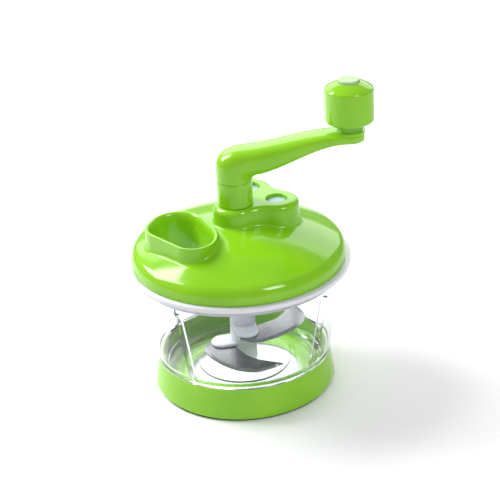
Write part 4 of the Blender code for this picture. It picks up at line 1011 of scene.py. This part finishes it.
# Three lobes joined by hollow waists, moved out by a distance.
def humpOutline(distance):
    centres = firstAxis.length
    lobe = hump["lobe"]
    waist = ((centres / 2) ** 2 + hump["waist"] ** 2 - lobe**2) / (2 * (lobe - hump["waist"]))
    points = []
    for i, here in enumerate(gearAxes):
        following = gearAxes[(i + 1) % len(gearAxes)]
        before = waistCentre(gearAxes[i - 1], here, lobe + waist)
        after = waistCentre(here, following, lobe + waist)
        start = bearingOf(before - here)
        sweep = (bearingOf(after - here) - start) % (2 * math.pi)
        bulge = arc(here, lobe + distance, start, start + sweep, hump["lobeSteps"])
        points.extend(bulge[:-1])
        start = bearingOf(here - after)
        sweep = (start - bearingOf(following - after)) % (2 * math.pi)
        hollow = arc(after, waist - distance, start, start - sweep, hump["waistSteps"])
        points.extend(hollow[:-1])
    return points


def waistCentre(first, second, reach):
    middle = (first + second) / 2
    step = (second - first).normalized()
    half = (second - first).length / 2
    return middle + Vector((step.y, -step.x)) * math.sqrt(reach**2 - half**2)


def drapedRing(outline, rise):
    return [(point.x, point.y, domeHeight(point.length) + rise) for point in outline]


# A drafted wall on the dome with a rounded foot and a rounded top edge.
def wallOnDome(outline, top, footRound, topRound):
    rings = [ringAt(outline(footRound), coverBottom + sink)]
    rings.append(drapedRing(outline(footRound), -sink))
    steps = hump["footSteps"]
    for i in range(steps):
        angle = (i + 0.5) / steps * math.pi / 2
        out = footRound * (1 - math.sin(angle))
        rings.append(drapedRing(outline(out), footRound * (1 - math.cos(angle))))
    rings.append(drapedRing(outline(0), footRound))
    lean = (top - apex) * math.tan(hump["draft"])
    steps = hump["topSteps"]
    for i in range(steps + 1):
        angle = i / steps * math.pi / 2
        inward = lean + topRound * (1 - math.cos(angle))
        rings.append(ringAt(outline(-inward), top - topRound * (1 - math.sin(angle))))
    return lofted(rings)


def makeHumpCore():
    rounding = hump["topRound"] - cover["wall"]
    ceiling = humpTop - cover["wall"]
    lean = (ceiling - apex) * math.tan(hump["draft"])
    low = topOf("gear_plate")
    rings = [ringAt(humpOutline(-cover["wall"]), height) for height in (low, apex)]
    steps = hump["coreSteps"]
    for i in range(steps + 1):
        angle = i / steps * math.pi / 2
        inward = cover["wall"] + lean + rounding * (1 - math.cos(angle))
        rings.append(ringAt(humpOutline(-inward), ceiling - rounding * (1 - math.sin(angle))))
    return lofted(rings)


def makeChutePassage():
    narrow = -chute["lip"] - chute["funnelWidth"]
    neck = chuteTop - chute["funnelDepth"]
    rings = [
        ringAt(chuteOutline(narrow), plateLow - chute["tail"] - overrun),
        ringAt(chuteOutline(narrow), neck),
    ]
    steps = chute["funnelSteps"]
    for i in range(1, steps + 1):
        angle = i / steps * math.pi / 2
        out = narrow + chute["funnelWidth"] * (1 - math.cos(angle))
        rings.append(ringAt(chuteOutline(out), neck + chute["funnelDepth"] * math.sin(angle)))
    rings.append(ringAt(chuteOutline(-chute["lip"]), chuteTop + overrun))
    return lofted(rings)


# A hole's cutter that widens towards the top, so that the hole's edge is rounded.
def holeTool(radius, depth, rounding, place):
    centre = Vector((radius + rounding, humpTop - rounding))
    profile = [Vector((0, humpTop + overrun)), Vector((radius + rounding, humpTop + overrun))]
    profile += arc(centre, rounding, math.pi / 2, math.pi, hump["holeSteps"])
    profile += [Vector((radius, humpTop - depth)), Vector((0, humpTop - depth))]
    corners = [(point.x, point.y) for point in profile]
    return turned(corners, steps=settings["roundSteps"], place=place)


def makeLidCover():
    dome = turned(domeProfile(0, coverBottom))
    gearHump = wallOnDome(humpOutline, humpTop, hump["footRound"], hump["topRound"])
    feedChute = wallOnDome(chuteOutline, chuteTop, chute["footRound"], chute["lipRound"])
    outer = joined(dome, gearHump, feedChute)
    core = turned(domeProfile(cover["wall"], coverBottom - overrun))
    shell = cut(outer, core, makeHumpCore())
    shaftInset = chute["lip"] + chute["funnelWidth"] - chute["wall"]
    shaft = prism(
        chuteOutline(-shaftInset), plateLow - chute["tail"], chuteTop - chute["funnelDepth"] / 2
    )
    inside = humpTop - cover["wall"] + sink
    collars = [
        rod(hump["crankHole"] + hump["collarWall"], humpTop - hump["crankCollarLength"], inside)
    ]
    for place in (firstAxis, secondAxis):
        radius = hump["hole"] + hump["collarWall"]
        collars.append(rod(radius, humpTop - hump["collarLength"], inside, place))
    shell = joined(shell, shaft, *collars)
    depth = hump["crankCollarLength"] + overrun
    rounding = hump["holeRound"]
    tools = [holeTool(hump["crankHole"], depth, rounding / 2, Vector((0, 0)))]
    tools += [holeTool(hump["hole"], depth, rounding, place) for place in (firstAxis, secondAxis)]
    return cut(shell, makeChutePassage(), *tools)


piece("lidCover", makeLidCover(), limeAbs, "lid", ["lid_cover"])
print("lid cover made")

# Gears: involute teeth, repeated round each axis, on hubs
gears = {
    "module": 0.0015,
    "pressure": math.radians(20),
    "wheel": 27,
    "pinion": 17,
    "addendum": 0.9,
    "dedendum": 1.25,
    "backlash": 0.00025,
    "face": 0.006,
    "pitch": 0.007,
    "runningGap": 0.001,
    "hubRadius": 0.0082,
    "hubRecess": 0.0027,
    "hubRound": 0.0006,
    "cap": 0.004,
    "footRadius": 0.0045,
    "axle": 0.0023,
    "inputHub": 0.0078,
    "shaft": 0.006,
    "driver": 0.0055,
    "driverLength": 0.018,
    "pilot": 0.0033,
    "pilotFloor": 0.001,
    "hex": 0.0049,
    "flankPoints": 6,
}
gearPlateTop = topOf("gear_plate")
lowLevel = gearPlateTop + gears["runningGap"]
middleLevel = lowLevel + gears["pitch"]
highLevel = middleLevel + gears["pitch"]
clusterTop = humpTop - gears["hubRecess"]
firstBearing = bearingOf(firstAxis)


def involute(angle):
    return math.tan(angle) - angle


# One tooth and its share of the disc, repeated round the axis and given its thickness.
def gearWheel(teeth, turn, bottom):
    pitchRadius = gears["module"] * teeth / 2
    baseRadius = pitchRadius * math.cos(gears["pressure"])
    root = pitchRadius - gears["dedendum"] * gears["module"]
    tip = pitchRadius + gears["addendum"] * gears["module"]
    half = math.pi / (2 * teeth) - gears["backlash"] / (4 * pitchRadius)
    flank = []
    count = gears["flankPoints"]
    for i in range(count):
        radius = root + (tip - root) * i / (count - 1)
        angle = half + involute(gears["pressure"])
        angle -= involute(math.acos(min(1, baseRadius / radius)))
        flank.append((radius, angle))
    points = [Vector((0, 0)), along(-math.pi / teeth, root)]
    points += [along(-angle, radius) for radius, angle in flank]
    points += [along(angle, radius) for radius, angle in reversed(flank)]
    points.append(along(math.pi / teeth, root))
    bm = bmesh.new()
    bm.faces.new([bm.verts.new((point.x, point.y, bottom)) for point in points])
    sector = bpy.data.meshes.new("sector")
    bm.to_mesh(sector)
    bm.free()
    disc = repeated(sector, teeth, turn, whiteNylon)
    bm = bmesh.new()
    bm.from_mesh(disc)
    raised = bmesh.ops.extrude_face_region(bm, geom=bm.faces[:])["geom"]
    top = [part for part in raised if isinstance(part, bmesh.types.BMVert)]
    bmesh.ops.translate(bm, verts=top, vec=(0, 0, gears["face"]))
    return meshFrom(bm)


# How far a pinion is turned to mesh with a wheel that lies back along the bearing.
def meshingTurn(driverTurn, bearing):
    phase = (bearing - driverTurn) / (2 * math.pi / gears["wheel"])
    return bearing + math.pi - (0.5 - phase) * 2 * math.pi / gears["pinion"]


def hub(radius, bottom, top, rounding):
    corners = [(0, top), (radius, top, rounding), (radius, bottom), (0, bottom)]
    return turned(filleted(corners, closed=False), steps=settings["roundSteps"])


def makeCluster(place, turn, pinionLevel, wheelLevel):
    wheel = gearWheel(gears["wheel"], 0.0, wheelLevel)
    pinion = gearWheel(gears["pinion"], turn, pinionLevel)
    body = hub(gears["hubRadius"], wheelLevel + sink, clusterTop, gears["hubRound"])
    foot = rod(gears["footRadius"], gearPlateTop + gap, wheelLevel + 2 * sink)
    bore = rod(gears["axle"], gearPlateTop - overrun, clusterTop - gears["cap"])
    cluster = cut(joined(wheel, pinion, body, foot), bore)
    cluster.transform(Matrix.Translation((place.x, place.y, 0)))
    return cluster


def makeInputGear():
    wheel = gearWheel(gears["wheel"], 0.0, highLevel)
    top = topOf("input_gear")
    body = hub(gears["inputHub"], highLevel + sink, top, gears["hubRound"])
    hole = rod(gears["hex"], highLevel - overrun, top + overrun, steps=column["hexSides"])
    return cut(joined(wheel, body), hole)


def makeOutputGear(turn):
    top = topOf("output_gear")
    shaftLow = bottomOf("output_gear") + gears["driverLength"]
    wheel = gearWheel(gears["pinion"], turn, lowLevel)
    body = hub(gears["shaft"], shaftLow, top, gears["hubRound"])
    driver = rod(
        gears["driver"], bottomOf("output_gear"), shaftLow + sink, steps=column["hexSides"]
    )
    hole = rod(gears["pilot"], lowLevel + gears["pilotFloor"], top + overrun)
    return cut(joined(wheel, body, driver), hole)


firstTurn = meshingTurn(0.0, firstBearing)
secondTurn = meshingTurn(0.0, bearingOf(secondAxis - firstAxis))
thirdTurn = meshingTurn(0.0, bearingOf(-secondAxis))
firstCluster = makeCluster(firstAxis, firstTurn, highLevel, middleLevel)
secondCluster = makeCluster(secondAxis, secondTurn, middleLevel, lowLevel)
clusters = (
    ("clusterGear1", firstCluster, "first_gear", "cluster_gear_1"),
    ("clusterGear2", secondCluster, "second_gear", "cluster_gear_2"),
)
for name, mesh, body, node in clusters:
    piece(name, mesh, blueGreyNylon, body, [node])
piece("inputGear", makeInputGear(), whiteNylon, "crank", ["input_gear"])
piece("outputGear", makeOutputGear(thirdTurn), whiteNylon, "drive", ["output_gear"])
print("gears made")

# Crank: the hub column, the arm with its elbow, pad and neck
crank = {
    "hubRadius": 0.014,
    "hubRound": 0.0008,
    "elbowInnerRound": 0.006,
    "elbowInnerOffset": 0.0065,
    "elbowOuterRise": 0.0119,
    "elbowOuterLength": 0.021,
    "elbowCrownRise": 0.0262,
    "throw": 0.0916,
    "startUnderRise": 0.0055,
    "endUnderRise": 0.0261,
    "endCrownRise": 0.0357,
    "underSlope": 0.2,
    "crownSlope": 0.05,
    "underLevelBack": 0.0046,
    "crownLevelBack": 0.0116,
    "padRadius": 0.0115,
    "padRound": 0.0012,
    "neckRadius": 0.0095,
    "neckFoot": 0.0012,
    "pinHole": 0.0039,
    "pinRoot": 0.0025,
    "round": 2.0,
    "square": 3.2,
    "tuckCurve": 4,
    "hubSteps": 128,
    "elbowSteps": 25,
    "armSteps": 48,
    "tipSteps": 20,
    "sectionSteps": 96,
}
armBottom = bottomOf("crank_arm")
padUnder = armBottom + crank["endUnderRise"]
padCrown = armBottom + crank["endCrownRise"]
neckTop = topOf("crank_arm")
knobAxis = centreOf("knob").xy - bowlAxis


def makeCrankHub():
    low, high = bottomOf("crank_hub"), topOf("crank_hub")
    corners = [
        (gears["hex"], high),
        (crank["hubRadius"], high, crank["hubRound"]),
        (crank["hubRadius"], low, crank["hubRound"]),
        (gears["hex"], low),
    ]
    return turned(filleted(corners, closed=True), closed=True, steps=crank["hubSteps"])


# Height at x on a curve from start, with a slope there, to end, where it is level.
def eased(start, end, startSlope, x):
    span = end.x - start.x
    share = min(1.0, max(0.0, (x - start.x) / span))
    blend = share * share * (3 - 2 * share)
    return start.y + (end.y - start.y) * blend + share * (1 - share) ** 2 * span * startSlope


# Underside point, crown point, half width and squareness of each section of the arm.
def armStations():
    radius = crank["hubRadius"]
    inner = Vector((radius + crank["elbowInnerOffset"], armBottom + crank["startUnderRise"]))
    innerCentre = inner - Vector((0, crank["elbowInnerRound"]))
    crown = Vector((crank["elbowOuterLength"] - radius, armBottom + crank["elbowCrownRise"]))
    cornerRise = crank["elbowCrownRise"] - crank["elbowOuterRise"]
    level = Vector((crank["throw"] - crank["underLevelBack"], padUnder))
    crownLevel = Vector((crank["throw"] - crank["crownLevelBack"], padCrown))
    roundness, squareness = crank["round"], crank["square"]
    stations = [(Vector((radius, armBottom)), Vector((-radius, armBottom)), radius, roundness)]
    for i in range(1, crank["elbowSteps"]):
        share = i / crank["elbowSteps"]
        angle = share * math.pi / 2
        under = innerCentre + along(math.pi - angle, crank["elbowInnerRound"])
        reach = crank["elbowOuterLength"] * math.cos(angle)
        over = crown - Vector((reach, cornerRise * (1 - math.sin(angle))))
        section = roundness + (squareness - roundness) * share
        stations.append((under, over, radius, section))
    straight = crank["throw"] - inner.x
    for i in range(crank["armSteps"] + 1):
        share = i / crank["armSteps"]
        x = inner.x + straight * share
        overX = x - (1 - share) * crank["elbowInnerOffset"]
        under = Vector((x, eased(inner, level, crank["underSlope"], x)))
        over = Vector((overX, eased(crown, crownLevel, crank["crownSlope"], overX)))
        halfWidth = radius + (crank["padRadius"] - radius) * share
        stations.append((under, over, halfWidth, squareness))
    for i in range(1, crank["tipSteps"]):
        share = i / crank["tipSteps"]
        angle = share * math.pi / 2
        x = crank["throw"] + crank["padRadius"] * math.sin(angle)
        tuck = crank["padRound"] * share ** crank["tuckCurve"]
        under = Vector((x, padUnder + tuck))
        over = Vector((x, padCrown - tuck))
        stations.append((under, over, crank["padRadius"] * math.cos(angle), squareness))
    return stations


# A rounded section whose height runs from the underside point to the crown point.
def armSection(under, over, halfWidth, squareness):
    middle = (under + over) / 2
    halfHeight = (over - under) / 2
    ring = []
    for i in range(crank["sectionSteps"]):
        angle = 2 * math.pi * i / crank["sectionSteps"]
        cos, sin = math.cos(angle), math.sin(angle)
        across = math.copysign(abs(cos) ** (2 / squareness), cos)
        up = math.copysign(abs(sin) ** (2 / squareness), sin)
        place = middle + halfHeight * up
        ring.append((place.x, halfWidth * across, place.y))
    return ring


def makeCrankArm():
    arm = lofted([armSection(*station) for station in armStations()])
    neck = filleted(
        [
            (0, neckTop),
            (crank["neckRadius"], neckTop, crank["neckFoot"] / 3),
            (crank["neckRadius"], padCrown, crank["neckFoot"]),
            (crank["neckRadius"] + 2 * crank["neckFoot"], padCrown),
            (crank["neckRadius"] + 2 * crank["neckFoot"], padCrown - overrun),
            (0, padCrown - overrun),
        ],
        closed=False,
    )
    neckMesh = turned(neck, steps=settings["roundSteps"], place=knobAxis)
    under = armBottom - overrun
    socket = rod(gears["hex"], under, topOf("crank_spindle") + gap, steps=column["hexSides"])
    pinHole = rod(crank["pinHole"], padUnder + crank["pinRoot"], neckTop + overrun, knobAxis)
    return cut(joined(arm, neckMesh), socket, pinHole)


piece("crankHub", makeCrankHub(), limeAbs, "crank", ["crank_hub"])
piece("crankArm", makeCrankArm(), limeAbs, "crank", ["crank_arm"])
print("crank made")

# Knob with a pocket for the pin's head, closed by its cap
knob = {
    "radius": 0.0192,
    "footRound": 0.002,
    "sideHeight": 0.0265,
    "shoulderRound": 0.0022,
    "domeRise": 0.0065,
    "pinHole": 0.0039,
    "seatDepth": 0.0105,
    "pocket": 0.0083,
    "pocketRound": 0.0004,
    "capRadius": 0.008,
    "capRound": 0.0008,
    "capProud": 0.001,
    "domeSteps": 24,
    "steps": 160,
}
knobLow = bottomOf("knob")
knobApex = topOf("knob_cap") - knob["capProud"]


def makeKnob():
    rise = knob["domeRise"]
    sphere = (knob["radius"] ** 2 + rise**2) / (2 * rise)
    shoulder = knobLow + knob["sideHeight"]
    centre = Vector((0, knobApex - sphere))
    edge = math.asin((shoulder - centre.y) / sphere)
    start = math.acos(knob["pocket"] / sphere)
    dome = arc(centre, sphere, start, edge, knob["domeSteps"])
    seat = knobApex - knob["seatDepth"]
    corners = [(knob["pocket"], seat), (dome[0].x, dome[0].y, knob["pocketRound"])]
    corners += [(point.x, point.y) for point in dome[2:-1]]
    corners += [
        (knob["radius"], shoulder, knob["shoulderRound"]),
        (knob["radius"], knobLow, knob["footRound"]),
        (knob["pinHole"], knobLow),
        (knob["pinHole"], seat),
    ]
    return turned(filleted(corners), closed=True, steps=knob["steps"], place=knobAxis)


def makeKnobCap():
    low, high = bottomOf("knob_cap"), topOf("knob_cap")
    corners = [
        (0, high),
        (knob["capRadius"], high, knob["capRound"]),
        (knob["capRadius"], low),
        (0, low),
    ]
    outline = filleted(corners, closed=False)
    return turned(outline, steps=settings["roundSteps"], place=knobAxis)


piece("knob", makeKnob(), limeAbs, "knob", ["knob"])
piece("knobCap", makeKnobCap(), satinGreenAbs, "knob", ["knob_cap"])
print("knob made")

# The CAD nodes that are shown as packed get their finish
gearPlateScrews = 3
steelNodes = ["pivot_pin", "axle_pin_1", "axle_pin_2", "crank_spindle", "retaining_ring"]
steelNodes += ["knob_pin"] + [f"gear_plate_screw_{i + 1}" for i in range(gearPlateScrews)]
finishes = (
    (groundSteel, "stainless_steel", steelNodes),
    (whiteNylon, "white_nylon", ["gear_plate", "drive_bush", "crank_bush"]),
    (clearSilicone, "clear_silicone", ["lid_seal"]),
)
for material, slotName, nodes in finishes:
    for node in nodes:
        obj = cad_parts[node]
        obj.data.materials.clear()
        obj.data.materials.append(material)

# Floor, light and camera
studio = {
    "floorSize": 6.0,
    "floorColour": "F8F8F8",
    "floorMottle": 60,
    "floorRoughness": (0.55, 0.65),
    "lampAimHeight": 0.1,
    "world": "FFFFFF",
    "worldStrength": 0.34,
    "lamps": {
        "left": ((-0.85, 0.4, 0.95), (0.7, 0.7), 19.0),
        "back": ((0.1, 1.5, 0.95), (2.2, 1.0), 15.0),
        "front": ((0.62, -0.75, 1.0), (0.36, 0.44), 6.0),
    },
}
camera = {
    "place": (0.0, -1.10196, 0.66497),
    "aim": (0.00936, 0.0, 0.11482),
    "roll": math.radians(-3.18),
    "focal": 110.556,
    "sensor": 36.0,
}


def makeFloor():
    size = studio["floorSize"] / 2
    bm = bmesh.new()
    corners = ((-size, -size, 0), (size, -size, 0), (size, size, 0), (-size, size, 0))
    bm.faces.new([bm.verts.new(corner) for corner in corners])
    floor = bpy.data.objects.new("floor", meshFrom(bm))
    bpy.context.scene.collection.objects.link(floor)
    material, tree, shader = newMaterial("paperFloor")
    unevenGloss(tree, shader, pattern(tree, studio["floorMottle"]), studio["floorRoughness"])
    shader.inputs["Base Color"].default_value = colour(studio["floorColour"])
    floor.data.materials.append(material)


def makeLamp(name, place, size, power):
    lamp = bpy.data.lights.new(name, "AREA")
    lamp.shape = "RECTANGLE"
    lamp.size, lamp.size_y = size
    lamp.energy = power
    obj = bpy.data.objects.new(name, lamp)
    obj.location = Vector(place) + Vector((bowlAxis.x, bowlAxis.y, 0))
    aim = Vector((bowlAxis.x, bowlAxis.y, studio["lampAimHeight"]))
    obj.rotation_euler = (aim - obj.location).to_track_quat("-Z", "Y").to_euler()
    bpy.context.scene.collection.objects.link(obj)


def makeWorld():
    world = bpy.data.worlds.new("studio")
    world.use_nodes = True
    background = world.node_tree.nodes["Background"]
    background.inputs[0].default_value = colour(studio["world"])
    background.inputs[1].default_value = studio["worldStrength"]
    bpy.context.scene.world = world


def makeCamera():
    lens = bpy.data.cameras.new("camera")
    lens.lens = camera["focal"]
    lens.sensor_width = camera["sensor"]
    obj = bpy.data.objects.new("camera", lens)
    shift = Vector((bowlAxis.x, bowlAxis.y, 0))
    obj.location = Vector(camera["place"]) + shift
    aim = Vector(camera["aim"]) + shift
    looking = (aim - obj.location).to_track_quat("-Z", "Y")
    obj.rotation_euler = (looking.to_matrix() @ Matrix.Rotation(camera["roll"], 3, "Z")).to_euler()
    bpy.context.scene.collection.objects.link(obj)
    bpy.context.scene.camera = obj


makeFloor()
for name, (place, size, power) in studio["lamps"].items():
    makeLamp(name, place, size, power)
makeWorld()
makeCamera()
bpy.context.scene.view_settings.view_transform = "Standard"
print("studio made")
